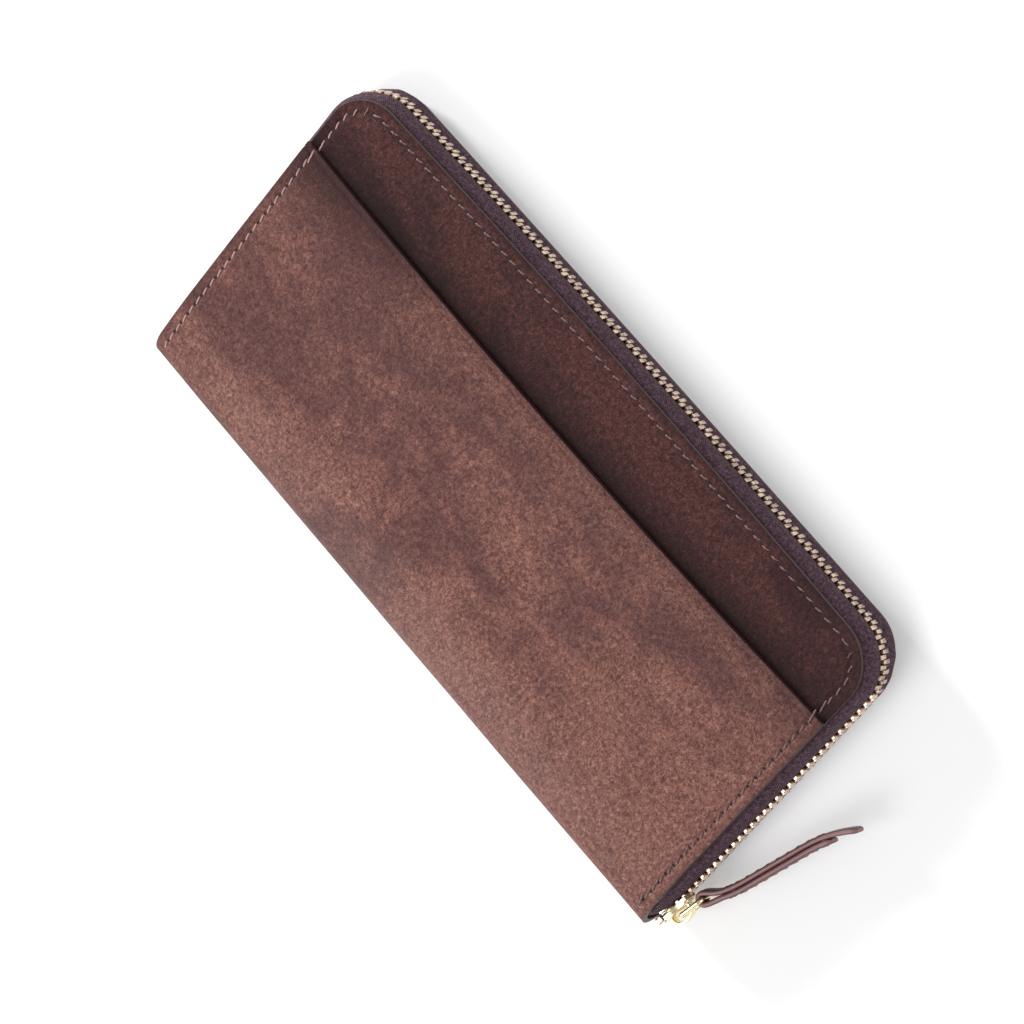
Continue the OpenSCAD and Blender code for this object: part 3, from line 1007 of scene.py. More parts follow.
def spine_roll(name):
    low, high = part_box("spine_lining_front")
    radius = fold_y - low.y
    rows = []
    for k in range(33):
        a = math.pi * (0.5 + k / 32)
        row = []
        for x in steps(low.x, high.x, 3 * mm):
            r = radius + ripple(x, a * 5 * mm, 7 * mm, 0.05 * mm, 33.0)
            row.append(Vector((x, fold_y + r * math.cos(a), zip_z + r * math.sin(a))))
        rows.append(row)
    piece = weave(name, [rows], [[[(0, 1)] * len(rows[0])] * len(rows)])
    return thicken(piece, 0.5 * mm, lambda p: Vector((0, p.y - fold_y, p.z - zip_z)), 0.1 * mm)


back_cloth = cover_lining("back_lining_leather", "back_lining", 1)
dress(back_cloth, "back_cover", "lining_leather", "back_lining")
front_cloth = cover_lining("front_lining_leather", "front_lining", -1)
dress(front_cloth, "front_cover", "lining_leather", "front_lining")
spine_cloth = spine_roll("spine_lining_leather")
dress(spine_cloth, None, "lining_leather", "spine_lining_rear", "spine_lining_front")
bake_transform(spine_cloth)

# %% [markdown]
# ## Card tiers
# The tiers are four staggered sheets on each cover. Every one gets round corners, a burnished top
# edge and a creased line below it, made with a warm tool. They are sewn down in the middle, which
# splits them into two columns of card slots, and along both short sides.

# %% Build a tier
def soft_sheet(name, node, facing, top_round=3 * mm, step=2.0 * mm, crease_at=1.6 * mm):
    """A leather sheet inside a node's box, seen from above (1) or below (-1)."""
    low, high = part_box(node)
    surface = high.z if facing > 0 else low.z
    tops = [0, 0.4, 0.8, 1.2, 1.4, 1.6, 1.8, 2.0, 2.4, 3.0]
    ys = [high.y - t * mm for t in tops] + steps(high.y - 4.5 * mm, low.y, step)
    middle = steps(low.x + 1 * mm, high.x - 1 * mm, step * 1.5)
    xs = [low.x, low.x + 0.5 * mm] + middle + [high.x - 0.5 * mm, high.x]
    table, marks = [], []
    for y in ys:
        t = min(high.y - y, top_round)
        cut = top_round - math.sqrt(top_round ** 2 - (top_round - t) ** 2)
        row, mark = [], []
        for x in xs:
            narrow = 1 - cut / high.x * max(0.0, abs(x) / high.x - 0.9) / 0.1
            crease = math.exp(-(((high.y - y - crease_at) / (0.25 * mm)) ** 2)) * 0.12 * mm
            soft = ripple(x, y, 11 * mm, 0.03 * mm, low.z * 1000)
            row.append(Vector((x * narrow, y, surface + facing * (soft - crease - 0.03 * mm))))
            mark.append((x, min(high.y - y, high.x - abs(x))))
        table.append(row)
        marks.append(mark)
    piece = weave(name, [table], [marks])
    return thicken(piece, high.z - low.z - 0.06 * mm, lambda _: Vector((0, 0, facing)), 0.15 * mm)


def tier_seams(name, side, facing):
    """Stitches down the middle and both short sides, lying on whichever tier is uppermost."""
    boxes = [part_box(f"{side}_card_tier_{i}") for i in range(1, 5)]
    frames = []
    for x in (-1, 0, 1):
        for y in steps(boxes[0][0].y + 2 * mm, boxes[0][1].y - 3 * mm, stitch_pitch):
            covering = [b for b in boxes if b[1].y - 0.5 * mm > y]
            z = covering[-1][1].z if facing > 0 else covering[-1][0].z
            spot = Vector((x * (boxes[0][1].x - 2 * mm), y, z + facing * 0.02 * mm))
            along = Vector((0, 1, 0))
            across = Vector((0, 0, facing)).cross(along)
            frames.append((spot, along, across, Vector((0, 0, facing))))
    return place_copies(name, stitch_shape(2.3 * mm, 0.16 * mm), frames)


card_sheets = []
inner_threads = []
for side, facing, body in (("back", 1, "back_cover"), ("front", -1, "front_cover")):
    for i in range(1, 5):
        node = f"{side}_card_tier_{i}"
        sheet = soft_sheet(f"{side}_tier_{i}_leather", node, facing)
        dress(sheet, body, "card_leather", node)
        card_sheets.append(sheet)
    seams = tier_seams(f"{side}_tier_thread", side, facing)
    dress(seams, body, "card_leather")
    inner_threads.append(seams)
print("card sheets:", len(card_sheets))

# %% [markdown]
# ## Gussets
# A gusset is a strip folded once towards the middle, so that the wallet opens like a fan. Each one
# joins a cover to the coin leaf. It is built as its two flaps. At the fold they lap a little over
# each other, so that no light shows between them when the fan opens.

# %% Build the gussets
gusset_cloths = []


def share_at(weight):
    """How far between start and end a smooth blend reaches a weight."""
    low, high = 0.0, 1.0
    for _ in range(40):
        middle = (low + high) / 2
        low, high = (middle, high) if ease(middle, 0, 1) < weight else (low, middle)
    return low


fold_lip = 0.5 * mm


def gusset_flap(name, low, high, side, layer_side):
    """One flap of a gusset. layer_side is -1 for the lower flap and 1 for the upper one."""
    near, far = sorted((abs(low.x), abs(high.x)))
    sheet = 0.36 * mm
    outer = high.z if layer_side > 0 else low.z
    middle = (low.z + high.z) / 2
    table, marks = [], []
    for y in steps(low.y, high.y, 1.6 * mm):
        row, mark = [], []
        for x in steps(far, near + 2 * mm, 1.25 * mm) + [near + k * fold_lip for k in (3, 2, 1, 0.5, 0)]:
            fold = ease(x, near + fold_lip, near + 1.2 * mm + fold_lip)
            soft = ripple(x, y, 5 * mm, 0.04 * mm, layer_side * 3.0)
            z = middle + layer_side * (sheet / 2 + 0.01 * mm) * (1 - fold)
            z += (outer - layer_side * sheet / 2 - middle) * fold + soft * fold * 0.5
            row.append(Vector((side * x, y, z + layer_side * sheet / 2)))
            mark.append((y, min(high.y - y, far - x + 1 * mm)))
        table.append(row)
        marks.append(mark)
    piece = weave(name, [table], [marks])
    return thicken(piece, sheet, lambda _: Vector((0, 0, layer_side)), 0.0), near, far


def bend_flap(flap, side, near, far, sewn, folded):
    """Works out where a blend from the sewn edge to the fold would run, but only bakes the flap in place.
    """
    a, b = share_at(sewn), share_at(folded)
    near += fold_lip / 2
    if sewn in (0.0, 1.0):
        far -= 3 * mm
    per_metre = (b - a) / (near - far)
    start = far - a / per_metre
    end = far + (1 - a) / per_metre
    side * start
    side * end
    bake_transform(flap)


for cover, far_body, sewn_low, sewn_high in (("rear", "coin_leaf", 0.0, 1.0),
                                             ("front", "front_cover", 0.5, 1.0)):
    for side_name, side in (("left", -1), ("right", 1)):
        node = f"gusset_{cover}_{side_name}"
        low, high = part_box(node)
        for flap_name, layer_side, sewn in (("lower", -1, sewn_low), ("upper", 1, sewn_high)):
            flap, near, far = gusset_flap(f"{node}_{flap_name}", low, high, side, layer_side)
            if layer_side > 0:
                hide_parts(node)
            bend_flap(flap, side, near, far, sewn, (sewn_low + sewn_high) / 2)
            gusset_cloths.append(flap)
print("gusset flaps:", len(gusset_cloths))

# %% [markdown]
# ## The coin leaf
# The middle leaf is a flat purse: two walls, a strip that closes its foot, two that close its short
# sides, and a small zip along the top. It hangs in the fan between the covers.

# %% Build the coin leaf
leaf_sheets = []
for node, facing in (("coin_wall_rear", -1), ("coin_wall_front", 1)):
    wall = soft_sheet(f"{node}_leather", node, facing, 1.5 * mm)
    dress(wall, "coin_leaf", "card_leather", node)
    leaf_sheets.append(wall)


def strip(name, node):
    """A folded strip that closes a side of the purse: its outer face is pressed slightly inwards."""
    low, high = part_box(node)
    centre = (low + high) / 2
    size = high - low
    long_axis, thin_axis = (0, 1) if size.x > size.y else (1, 0)
    section, frames = [], []
    for k in range(16):
        a = 2 * math.pi * k / 16
        c, s = math.cos(a), math.sin(a)
        section.append((size[thin_axis] / 2 * math.copysign(abs(c) ** 0.4, c),
                        size.z / 2 * math.copysign(abs(s) ** 0.4, s)))
    for t in steps(-size[long_axis] / 2, size[long_axis] / 2, 2 * mm):
        p = centre.copy()
        p[long_axis] += t
        thin = Vector((0, 0, 0))
        thin[thin_axis] = 1 - 0.12 * abs(ripple(t, 0, 4 * mm, 1.0, 9.0))
        frames.append((p, thin, Vector((0, 0, 1))))
    piece = sweep(name, frames, section, marks=True)
    return piece


for node in ("coin_bottom_strip", "coin_side_strip_left", "coin_side_strip_right"):
    piece = strip(f"{node}_leather", node)
    dress(piece, "coin_leaf", "gusset_leather", node)
    gusset_cloths.append(piece)

coin_tapes = []
for node, facing in (("coin_tape_rear", -1), ("coin_tape_front", 1)):
    cloth = soft_sheet(f"{node}_cloth", node, facing, 1.0 * mm, 1.2 * mm, -5 * mm)
    dress(cloth, "coin_leaf", "zip_tape", node)
    coin_tapes.append(cloth)


def leaf_seams():
    """Thread along the top edge and both short sides of the purse, on both faces."""
    frames = []
    for node, facing in (("coin_wall_rear", -1), ("coin_wall_front", 1)):
        low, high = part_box(node)
        z = high.z if facing > 0 else low.z
        up = Vector((0, 0, facing))
        inset = 2.6 * mm
        for x in steps(low.x + inset, high.x - inset, stitch_pitch):
            along = Vector((1, 0, 0))
            frames.append((Vector((x, high.y - inset, z)), along, up.cross(along), up))
        for x in (low.x + inset, high.x - inset):
            for y in steps(low.y + inset, high.y - 2 * inset, stitch_pitch):
                along = Vector((0, 1, 0))
                frames.append((Vector((x, y, z)), along, up.cross(along), up))
    return place_copies("coin_leaf_thread", stitch_shape(2.3 * mm, 0.16 * mm), frames)


leaf_thread = leaf_seams()
dress(leaf_thread, "coin_leaf", "card_leather")
inner_threads.append(leaf_thread)

# %% [markdown]
# The coin zip is the same chain at seven tenths of the size. Its slider is a shorter casting with a
# flat tab that hangs from a pin.

# %% Build the coin zip
coin_scale = 0.7
coin_pitch = 1.6 * mm
small_tooth = tooth_shape(coin_scale)
coin_metal = []
for row_name, up in (("rear", -1), ("front", 1)):
    low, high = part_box(f"coin_teeth_{row_name}")
    half = 0.5 * coin_scale * 1.36 * mm
    frames = []
    for x in steps(low.x + half, high.x - half, coin_pitch):
        origin = Vector((x, (low.y + high.y) / 2, zip_z))
        frames.append((origin, Vector((1, 0, 0)), Vector((0, 0, up)), Vector((0, 1, 0))))
    row = place_copies(f"coin_row_{row_name}", small_tooth, frames)
    dress(row, "coin_leaf", "teeth_brass", f"coin_teeth_{row_name}")
    coin_metal.append(row)


def clamp(name, node, body):
    """A stop: a small block of brass folded over the tapes, with a groove across its back."""
    low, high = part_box(node)
    centre, size = (low + high) / 2, high - low
    long_axis = 2 if size.z > max(size.x, size.y) else (0 if size.x > size.y else 1)
    others = [i for i in range(3) if i != long_axis]
    section, frames = [], []
    for k in range(20):
        a = 2 * math.pi * k / 20
        c, s = math.cos(a), math.sin(a)
        section.append((size[others[0]] / 2 * math.copysign(abs(c) ** 0.45, c),
                        size[others[1]] / 2 * math.copysign(abs(s) ** 0.45, s)))
    for k in range(13):
        t = k / 12
        p = centre.copy()
        p[long_axis] += size[long_axis] * (t - 0.5)
        full = (1 - abs(2 * t - 1) ** 8) ** 0.5 * 0.4 + 0.6 - 0.08 * math.exp(-((t - 0.5) / 0.12) ** 2)
        axes = [Vector((0, 0, 0)), Vector((0, 0, 0))]
        axes[0][others[0]] = full
        axes[1][others[1]] = full
        frames.append((p, axes[0], axes[1]))
    piece = sweep(name, frames, section)
    return dress(piece, body, "teeth_brass", node)


for node, body in (("coin_stop_left", "coin_leaf"), ("coin_stop_right", "coin_leaf"),
                   ("zip_bottom_stop", "back_cover"), ("zip_top_stop_rear", "back_cover"),
                   ("zip_top_stop_front", "back_cover")):
    coin_metal.append(clamp(f"{node}_brass", node, body))

coin_low, coin_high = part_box("coin_slider")
tab_joint = Vector(joint["coin_tab_swing"]["pos_m"])
coin_row_y = (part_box("coin_teeth_front")[0].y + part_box("coin_teeth_front")[1].y) / 2


def rounded(low_a, high_a, half_b, radius, cut=None):
    """A rounded rectangle, or with cut = (depth, half width) a fork open at its high end."""
    points = []
    for ca, cb, start in ((high_a - radius, half_b - radius, 0), (low_a + radius, half_b - radius, 90),
                          (low_a + radius, radius - half_b, 180), (high_a - radius, radius - half_b, 270)):
        for k in range(6):
            a = math.radians(start + 18 * k)
            points.append((ca + radius * math.cos(a), cb + radius * math.sin(a)))
    if cut:
        depth, half = cut
        points += [(high_a, -half), (high_a - depth, -half), (high_a - depth, half), (high_a, half)]
    return points


def build_coin_slider():
    # across the chain is Z, along it X, outwards Y
    turn = Matrix(((0, 1, 0), (0, 0, 1), (1, 0, 0))).to_4x4()
    world = Matrix.Translation(Vector((coin_low.x, coin_row_y, zip_z))) @ turn
    length = coin_high.x - coin_low.x
    gap, plate = 0.8 * mm, 0.65 * mm
    top = [(b, a) for a, b in rounded(0, length, 2.2 * mm, 1.3 * mm)]
    under = [(b, a) for a, b in rounded(0.5 * mm, length - 0.5 * mm, 0.6 * mm, 0.3 * mm)]
    parts = [slab("plate", top, gap, gap + plate, 0.2 * mm, world),
             slab("plate", under, -gap - plate, -gap, 0.1 * mm, world)]
    wedge = [(b, a) for a, b in rounded(length - 2.2 * mm, length - 0.9 * mm, 0.33 * mm, 0.2 * mm)]
    parts.append(slab("wedge", wedge, -gap, gap, 0.04 * mm, world))
    parts.append(bridge(world, gap + plate, tab_joint.x - coin_low.x,
                        1.55 * mm, 1.9 * mm, 0.8 * mm, 0.3 * mm))
    return join("coin_slider_casting", parts)


coin_slider = build_coin_slider()
dress(coin_slider, "coin_slider_body", "slider_brass", "coin_slider")


def build_tab():
    tab_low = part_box("coin_pull_tab")[0]
    turn = Matrix(((1, 0, 0), (0, 0, 1), (0, 1, 0))).to_4x4()
    world = Matrix.Translation(tab_joint) @ turn
    fork = rounded(tab_low.x - tab_joint.x, 0.35 * mm, 2.0 * mm, 0.33 * mm, (2.6 * mm, 1.15 * mm))
    blade = slab("blade", fork, -0.38 * mm, 0.38 * mm, 0.14 * mm, world)
    pin = []
    for t in steps(-1.6 * mm, 1.6 * mm, 0.4 * mm):
        pin.append((tab_joint + Vector((0, 0, t)), Vector((1, 0, 0)), Vector((0, 1, 0))))
    circle = [(0.42 * mm * math.cos(a), 0.42 * mm * math.sin(a))
              for a in (2 * math.pi * k / 14 for k in range(14))]
    return join("coin_tab", [blade, sweep("pin", pin, circle)])


coin_tab = build_tab()
dress(coin_tab, "coin_tab_body", "slider_brass", "coin_pull_tab")
print("coin zip:", len(coin_metal), "small metal pieces")

# %% [markdown]
# ## Shader maths in plain Python
# A material is a graph of nodes. Written as expressions it is far easier to read, so a small class
# wraps a socket and lets + - * / build the Math nodes. Colours and vectors go through Mix and
# Vector Math instead, because a Math node would turn a colour grey.

# %% Sockets that can be added and multiplied
class Wire:
    """An output socket of one finish, for use in expressions."""

    def __init__(self, finish, socket):
        self.finish = finish
        self.socket = socket

    def combine(self, operation, first, second):
        kinds = [w.socket.type for w in (first, second) if isinstance(w, Wire)]
        if "RGBA" in kinds:
            settings = {"data_type": "RGBA", "blend_type": operation[:8].rstrip("_")}
            return self.finish.node("Mix", settings, {0: 1.0, 6: first, 7: second}, 2)
        if "VECTOR" in kinds:
            return self.finish.node("VectorMath", {"operation": operation}, {0: first, 1: second})
        return self.finish.node("Math", {"operation": operation}, {0: first, 1: second})

    def __add__(self, other):
        return self.combine("ADD", self, other)

    def __radd__(self, other):
        return self.combine("ADD", other, self)

    def __sub__(self, other):
        return self.combine("SUBTRACT", self, other)

    def __rsub__(self, other):
        return self.combine("SUBTRACT", other, self)

    def __mul__(self, other):
        return self.combine("MULTIPLY", self, other)

    def __rmul__(self, other):
        return self.combine("MULTIPLY", other, self)

    def __truediv__(self, other):
        return self.combine("DIVIDE", self, other)

    def __pow__(self, other):
        return self.combine("POWER", self, other)


class Finish:
    """A material under construction."""

    def __init__(self, name):
        self.material = bpy.data.materials.new(name)
        self.material.use_nodes = True
        self.tree = self.material.node_tree
        self.tree.nodes.clear()
        self.shader = self.tree.nodes.new("ShaderNodeBsdfPrincipled")
        output = self.tree.nodes.new("ShaderNodeOutputMaterial")
        self.tree.links.new(self.shader.outputs[0], output.inputs[0])

    def plug(self, target, value):
        if isinstance(value, Wire):
            self.tree.links.new(value.socket, target)
        elif target.type == "RGBA" and len(value) == 3:
            target.default_value = (*value, 1.0)
        else:
            target.default_value = value

    def node(self, kind, settings=None, sockets=None, out=0):
        made = self.tree.nodes.new("ShaderNode" + kind)
        for key, value in (settings or {}).items():
            setattr(made, key, value)
        for key, value in (sockets or {}).items():
            self.plug(made.inputs[key], value)
        return Wire(self, made.outputs[out])

    def set(self, **sockets):
        for key, value in sockets.items():
            self.plug(self.shader.inputs[key.replace("_", " ")], value)

    def place(self, stretch=(1, 1, 1)):
        """Object coordinates, stretched before a texture reads them."""
        coordinates = self.node("TexCoord", out=3)
        return coordinates * stretch

    def part(self, axis):
        """One of the three object coordinates, in metres."""
        return self.node("SeparateXYZ", None, {0: self.node("TexCoord", out=3)}, axis)

    def noise(self, size, detail=3.0, roughness=0.55, stretch=(1, 1, 1), distortion=0.0):
        """Cloudy noise whose blobs are about size metres across."""
        sockets = {"Vector": self.place(stretch), "Scale": 1 / size, "Detail": detail,
                   "Roughness": roughness, "Distortion": distortion}
        return self.node("TexNoise", None, sockets)

    def step(self, value, low, high):
        """0 below low, 1 above high, smooth between."""
        sockets = {"Value": value, "From Min": low, "From Max": high}
        return self.node("MapRange", {"interpolation_type": "SMOOTHSTEP"}, sockets)

    def mix(self, share, first, second):
        settings = {"data_type": "RGBA", "blend_type": "MIX"}
        return self.node("Mix", settings, {0: share, 6: first, 7: second}, 2)

    def bump(self, height, depth, strength=1.0):
        """Turns a height from 0 to 1 into relief of the given depth in metres."""
        sockets = {"Height": height, "Distance": depth, "Strength": strength}
        self.set(Normal=self.node("Bump", None, sockets))


def srgb(r, g, b):
    """A colour as a screen shows it, 0 to 255, turned to linear light."""
    def linear(c):
        c /= 255
        return c / 12.92 if c <= 0.04045 else ((c + 0.055) / 1.055) ** 2.4
    return tuple(linear(c) for c in (r, g, b))


# %% [markdown]
# ## Brushed-off wax leather
# The hide is vegetable tanned and dyed by hand. Broad clouds of darker dye run across it, a finer
# mottling breaks them up, and short rust-coloured fibres show where the dye is thin. It is nearly
# matte, with a soft polish along the spine where the hand holds it.

# %% The hide's finish
def leather(name, ground, dark, rust, sheen=0.0, mottle=1.0, roughness=0.68, grain=0.06 * mm,
            painted_shade=None):
    f = Finish(name)
    clouds = f.noise(34 * mm, 3, 0.5, (0.5, 1.1, 1.0), 0.6)
    blotches = f.noise(9 * mm, 5, 0.62, (0.7, 1.0, 1.0), 0.8)
    specks = f.noise(1.0 * mm, 5, 0.72, (1.0, 0.8, 1.0), 0.6)
    fibres = f.noise(0.42 * mm, 4, 0.7, (1.4, 0.6, 1.0), 2.0)
    hairs = f.noise(0.4 * mm, 4, 0.7, (0.5, 1.5, 1.0), 1.6)
    shade = clouds * 0.55 + blotches * 0.35 + specks * 0.1
    deep = f.step(shade, 0.58, 0.38) * (0.75 * mottle)
    tone = f.mix(deep, ground, dark)
    light = specks * 0.3 + fibres * 0.4 + hairs * 0.3
    bright = f.step(light, 0.47, 0.64) * (0.35 + 0.65 * f.step(shade, 0.42, 0.58))
    tone = f.mix(bright * (0.9 * mottle), tone, rust)
    pores = f.step(light, 0.50, 0.40) * 0.85
    tone = f.mix(pores, tone, tuple(c * 0.42 for c in dark))
    # Painted shade: the caller's mask darkens the tone where the hide lies in shade.
    if painted_shade:
        tone = f.mix(painted_shade(f, shade), tone, tuple(c * 0.35 for c in dark))
    near_edge = f.step(mark(f, "across"), 2.2 * mm, 0.2 * mm)
    tone = f.mix(near_edge * 0.4, tone, tuple(c * 0.75 for c in dark))
    f.set(Base_Color=tone)
    f.set(Roughness=roughness - near_edge * 0.1 + (specks - 0.5) * 0.3)
    along = f.part(0) * (1 / half_length)
    handled = f.step(f.part(1), fold_y + 17 * mm, fold_y - 3 * mm) * (1 - along * along * 0.85)
    f.set(Coat_Weight=handled * 0.5, Coat_Roughness=0.56)
    relief = fibres * 0.35 + hairs * 0.25 + specks * 0.4 + blotches * 0.4
    f.bump(relief, grain, 0.9)
    f.set(Sheen_Weight=sheen, Sheen_Roughness=0.45, Sheen_Tint=(*srgb(214, 178, 176), 1.0))
    f.set(Specular_IOR_Level=0.1)
    return f.material


def mark(f, name):
    """A number stored on the points of a mesh."""
    return f.node("Attribute", {"attribute_name": name}, None, 2)


def mouth_painted_shade(f, shade):
    """Painted shade along the pocket's mouth, darkest at the end away from the slider."""
    y = f.part(1) + (shade - 0.5) * (30 * mm)
    far_end = f.step(f.part(0), -0.3 * half_length, -0.9 * half_length)
    return f.step(y, mouth_y - 22 * mm, mouth_y) * (0.26 + 0.6 * far_end)


def sunk_painted_shade(f, _):
    """Painted shade: the upper panel is darkened where it goes in under the pocket."""
    return f.step(f.part(1), mouth_y + 13 * mm, mouth_y - 1 * mm) * 0.75


hide_finish = leather("dyed_hide", srgb(104, 66, 60), srgb(70, 45, 48), srgb(180, 136, 120),
                      painted_shade=mouth_painted_shade)
# The upper panel's finish is a darker copy of the hide: painted shade for the panel sunk below the pocket.
panel_finish = leather("shaded_hide_upper", srgb(60, 34, 34), srgb(40, 23, 26), srgb(118, 76, 68),
                       painted_shade=sunk_painted_shade)
print("leathers:", hide_finish.name, "and", panel_finish.name)

# %% [markdown]
# ## Edges and thread
# A cut edge is painted and rubbed until it shines in streaks. The thread is waxed and twisted from
# a few plies, and a painted highlight makes it paler towards the wallet's left short end.

# %% Burnished edges, thread and holes
def edge_finish():
    f = Finish("burnished_edge")
    streaks = f.noise(1.1 * mm, 4, 0.6, (0.5, 0.5, 3.0))
    f.set(Base_Color=f.mix(streaks, srgb(44, 26, 29), srgb(72, 44, 46)))
    f.set(Roughness=0.42 + streaks * 0.2)
    f.bump(streaks, 0.04 * mm)
    return f.material


def thread_finish(name, light, deep):
    f = Finish(name)
    ply = f.node("TexWave", {"wave_type": "BANDS", "bands_direction": "DIAGONAL"},
                 {"Vector": f.place(), "Scale": 1 / (2.6 * mm), "Distortion": 0.6}, 1)
    fuzz = f.noise(0.3 * mm, 3)
    # Painted highlight: the thread is coloured paler towards the wallet's left short end.
    near_edge = f.step(f.part(0), -0.86 * half_length, -0.97 * half_length)
    tone = f.mix(ply * 0.6 + fuzz * 0.4, deep, light)
    f.set(Base_Color=f.mix(near_edge * 0.7, tone, srgb(186, 146, 138)))
    f.set(Roughness=0.5)
    f.set(Sheen_Weight=0.5, Sheen_Roughness=0.4)
    f.bump(ply * 0.7 + fuzz * 0.3, 0.06 * mm)
    return f.material


def hole_finish():
    f = Finish("needle_hole")
    # Painted shade: the needle hole is coloured near black for the dark inside it.
    shade_speckle = f.noise(0.3 * mm)
    f.set(Base_Color=f.mix(shade_speckle, srgb(20, 10, 12), srgb(34, 18, 20)))
    f.set(Roughness=0.9)
    return f.material


edge_paint = edge_finish()
thread_colour = thread_finish("waxed_thread", srgb(124, 86, 80), srgb(50, 29, 31))
hole_dark = hole_finish()
print("edges:", edge_paint.name, "- thread:", thread_colour.name)

# %% [markdown]
# ## Cloth and metal
# The tape's weave follows the lengths stored on its points, so it runs on round the corners. Teeth
# and castings are the same alloy: the teeth are darker in their tarnish, the castings polished.

# %% Zip tape, teeth and castings
def tape_finish():
    """A woven tape: a fine check of weft and warp, with pale fluff and dark worn spots on it."""
    f = Finish("zip_tape_weave")
    along = mark(f, "along")
    across = mark(f, "across")
    weft = f.node("Math", {"operation": "SINE"}, {0: along * (2 * math.pi / (0.62 * mm))})
    warp = f.node("Math", {"operation": "SINE"}, {0: across * (2 * math.pi / (0.7 * mm))})
    cloth = weft * warp * 0.45 + 0.5
    fluff = f.noise(0.7 * mm, 3, 0.7)
    tone = f.mix(cloth, srgb(34, 20, 28), srgb(92, 66, 78))
    tone = f.mix(f.step(fluff, 0.48, 0.62) * 0.4, tone, srgb(120, 94, 106))
    tone = f.mix(f.step(fluff, 0.46, 0.36) * 0.5, tone, srgb(24, 13, 20))
    f.set(Base_Color=tone)
    f.set(Roughness=0.78)
    f.set(Specular_IOR_Level=0.2)
    f.bump(cloth * 0.8 + fluff * 0.2, 0.12 * mm)
    return f.material


def brass_finish(name, bright, dull, roughness, wear=0.5):
    f = Finish(name)
    tarnish = f.noise(1.6 * mm, 4, 0.6)
    fine = f.noise(0.25 * mm, 2)
    f.set(Base_Color=f.mix(f.step(tarnish, 0.35, 0.7) * wear, bright, dull))
    f.set(Metallic=1.0)
    f.set(Roughness=roughness + tarnish * 0.12)
    f.bump(fine, 0.008 * mm, 0.6)
    return f.material


card_finish = leather("card_hide", srgb(128, 84, 72), srgb(98, 62, 56), srgb(164, 112, 88), mottle=0.6)
lining_finish = leather("lining_suede", srgb(88, 56, 52), srgb(66, 42, 42), srgb(112, 74, 62), 0.15, 0.5)
gusset_finish = leather("gusset_hide", srgb(100, 64, 58), srgb(74, 46, 46), srgb(128, 84, 70), mottle=0.5)
tape_cloth = tape_finish()
teeth_metal = brass_finish("antique_brass", srgb(238, 214, 192), srgb(96, 72, 58), 0.22, 0.7)
casting_metal = brass_finish("polished_brass", srgb(252, 238, 196), srgb(228, 202, 146), 0.16, 0.35)


def strap_burnish():
    """Layers burnished with wax, with a painted highlight along the middle of each edge and the plain tone
    beside it.
    """
    f = Finish("strap_hide")
    fibres = f.noise(0.5 * mm, 4, 0.7, (1, 1, 0.5))
    clouds = f.noise(6 * mm, 3)
    through = mark(f, "across") * (1 / (layer / 2))
    # Painted highlight: a pale band along the middle of each layer's edge.
    painted_highlight = 1 - f.step(through * through, 0.0, 0.8)
    tone = f.mix(clouds * 0.6 + fibres * 0.4, srgb(66, 38, 42), srgb(104, 68, 70))
    tone = f.mix(painted_highlight * 0.55, tone, srgb(160, 118, 118))
    f.set(Base_Color=tone, Roughness=0.42 - painted_highlight * 0.1)
    f.set(Specular_IOR_Level=0.4)
    f.bump(fibres, 0.05 * mm)
    return f.material


strap_finish = strap_burnish()
print("metals:", teeth_metal.name, "and", casting_metal.name)

# %% [markdown]
# ## Each piece gets its finish
# A piece's first slot is its face and its second the cut edge. The boards keep their plain shape
# from the mechanics and only get a colour.

# %% Put the finishes on
def coat(piece, *materials):
    slots = piece.data.materials
    for i, material in enumerate(materials):
        if i < len(slots):
            slots[i] = material
        else:
            slots.append(material)


def board_finish():
    """Pressed fibre board, which only shows when a lining is lifted."""
    f = Finish("fibre_board")
    fibres = f.noise(1.2 * mm, 4, 0.7, (1, 0.3, 1), 1.0)
    f.set(Base_Color=f.mix(fibres, srgb(150, 128, 100), srgb(196, 176, 146)), Roughness=0.9)
    f.bump(fibres, 0.05 * mm)
    return f.material


board = board_finish()
for node in ("back_stiffener", "front_stiffener"):
    coat(frame["nodes"][node], board)
for piece in card_sheets + leaf_sheets:
    coat(piece, card_finish, edge_paint)
for piece in (back_cloth, front_cloth, spine_cloth):
    coat(piece, lining_finish, edge_paint)
for piece in gusset_cloths:
    coat(piece, gusset_finish, edge_paint)
for piece in coin_tapes:
    coat(piece, tape_cloth, tape_cloth)
for piece in inner_threads:
    coat(piece, thread_colour)
for piece in coin_metal:
    coat(piece, teeth_metal)
for piece in (coin_slider, coin_tab):
    coat(piece, casting_metal)
coat(outer_leather, hide_finish, edge_paint)
coat(front_leather, panel_finish, edge_paint)
for piece in (front_tape, back_tape, tape_tails):
    coat(piece, tape_cloth, tape_cloth)
for piece in (front_thread, back_thread, strap_thread):
    coat(piece, thread_colour)
for piece in (front_holes, back_holes):
    coat(piece, hole_dark)
for row_name in ("rear", "front"):
    for stretch in ("top", "sides"):
        coat(bpy.data.objects[f"teeth_{row_name}_{stretch}"], teeth_metal)
for piece in (slider, ring):
    coat(piece, casting_metal)
coat(strap, strap_finish)

# %% [markdown]
# ## Floor, light and camera
# A pale sweep, a broad key from the spine's side and a bright surround give the even look of a
# catalogue picture. A small, distant lamp on the left draws the soft shadow, and a weak one fills
# in from the zip's side. The camera is a long lens placed high over the zip's corner.

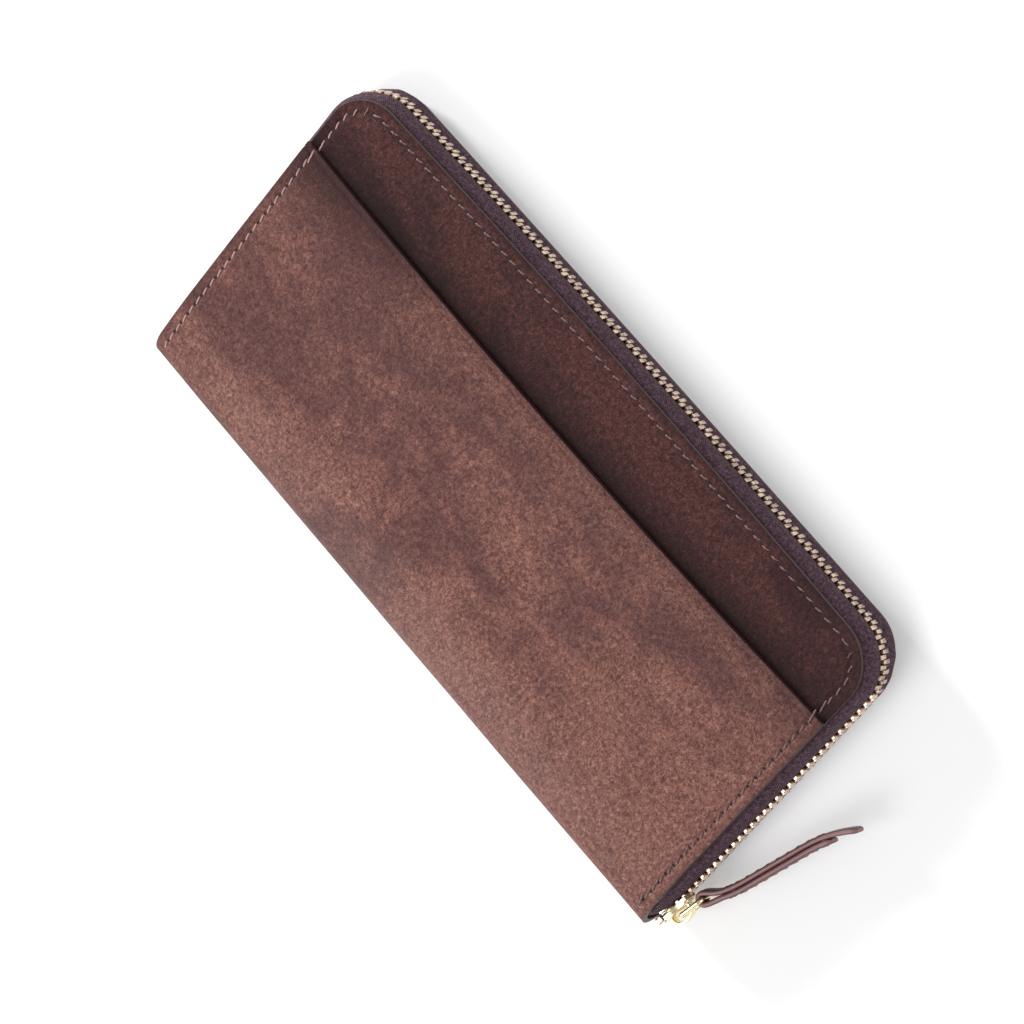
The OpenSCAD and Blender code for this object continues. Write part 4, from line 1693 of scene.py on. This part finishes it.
# %% Studio
def studio():
    bm = bmesh.new()
    size = 8.0
    tile = size / 12
    rows = []
    for k in range(13):
        y = -size / 2 + size * k / 12
        rows.append([bm.verts.new((x, y, 0)) for x in steps(-size / 2, size / 2, tile)])
    for a, b in zip(rows, rows[1:]):
        for j in range(len(a) - 1):
            bm.faces.new((a[j], a[j + 1], b[j + 1], b[j]))
    mesh = bpy.data.meshes.new("studio_floor")
    bm.to_mesh(mesh)
    bm.free()
    floor = link("studio_floor", mesh)
    floor.location.z = -0.3 * mm
    f = Finish("pale_floor")
    f.set(Base_Color=(0.65, 0.65, 0.65, 1.0), Roughness=0.9)
    f.set(Emission_Color=(1.0, 1.0, 1.0, 1.0), Emission_Strength=0.3)
    coat(floor, f.material)
    world = bpy.data.worlds.new("surround")
    bpy.context.scene.world = world
    world.use_nodes = True
    world.node_tree.nodes["Background"].inputs[0].default_value = (1, 1, 1, 1)
    world.node_tree.nodes["Background"].inputs[1].default_value = 0.42


def lamp(name, where, aim, size, power, tint=(1, 1, 1)):
    data = bpy.data.lights.new(name, "AREA")
    data.shape = "DISK"
    data.size = size
    data.energy = power
    data.color = tint
    made = bpy.data.objects.new(name, data)
    bpy.context.scene.collection.objects.link(made)
    made.location = where
    made.rotation_euler = (Vector(aim) - Vector(where)).to_track_quat("-Z", "Y").to_euler()


studio()
lamp("key", (0.08, -0.56, 0.68), (0, 0, 0), 0.7, 5.5)
lamp("side", (-1.45, -0.08, 0.6), (0, 0, 0), 0.4, 30)
lamp("fill", (0.55, 0.6, 0.35), (0, 0, 0), 0.6, 1.8)

view_row_x = Vector((0.62840897, 0.58470676, -0.51304988))
view_row_down = Vector((0.72358257, -0.68147733, 0.10962165))
view_ahead = Vector((-0.28553534, -0.44012118, -0.85133008))
camera_data = bpy.data.cameras.new("portrait")
camera_data.sensor_width = 36
camera_data.lens = 139.4
camera_data.clip_start = 0.05
camera = bpy.data.objects.new("portrait", camera_data)
bpy.context.scene.collection.objects.link(camera)
axes = Matrix((view_row_x, -view_row_down, -view_ahead)).transposed().to_4x4()
camera.matrix_world = Matrix.Translation(Vector((279.7, 424.1, 835.0)) * mm) @ axes
bpy.context.scene.camera = camera
bpy.context.scene.view_settings.view_transform = "Standard"
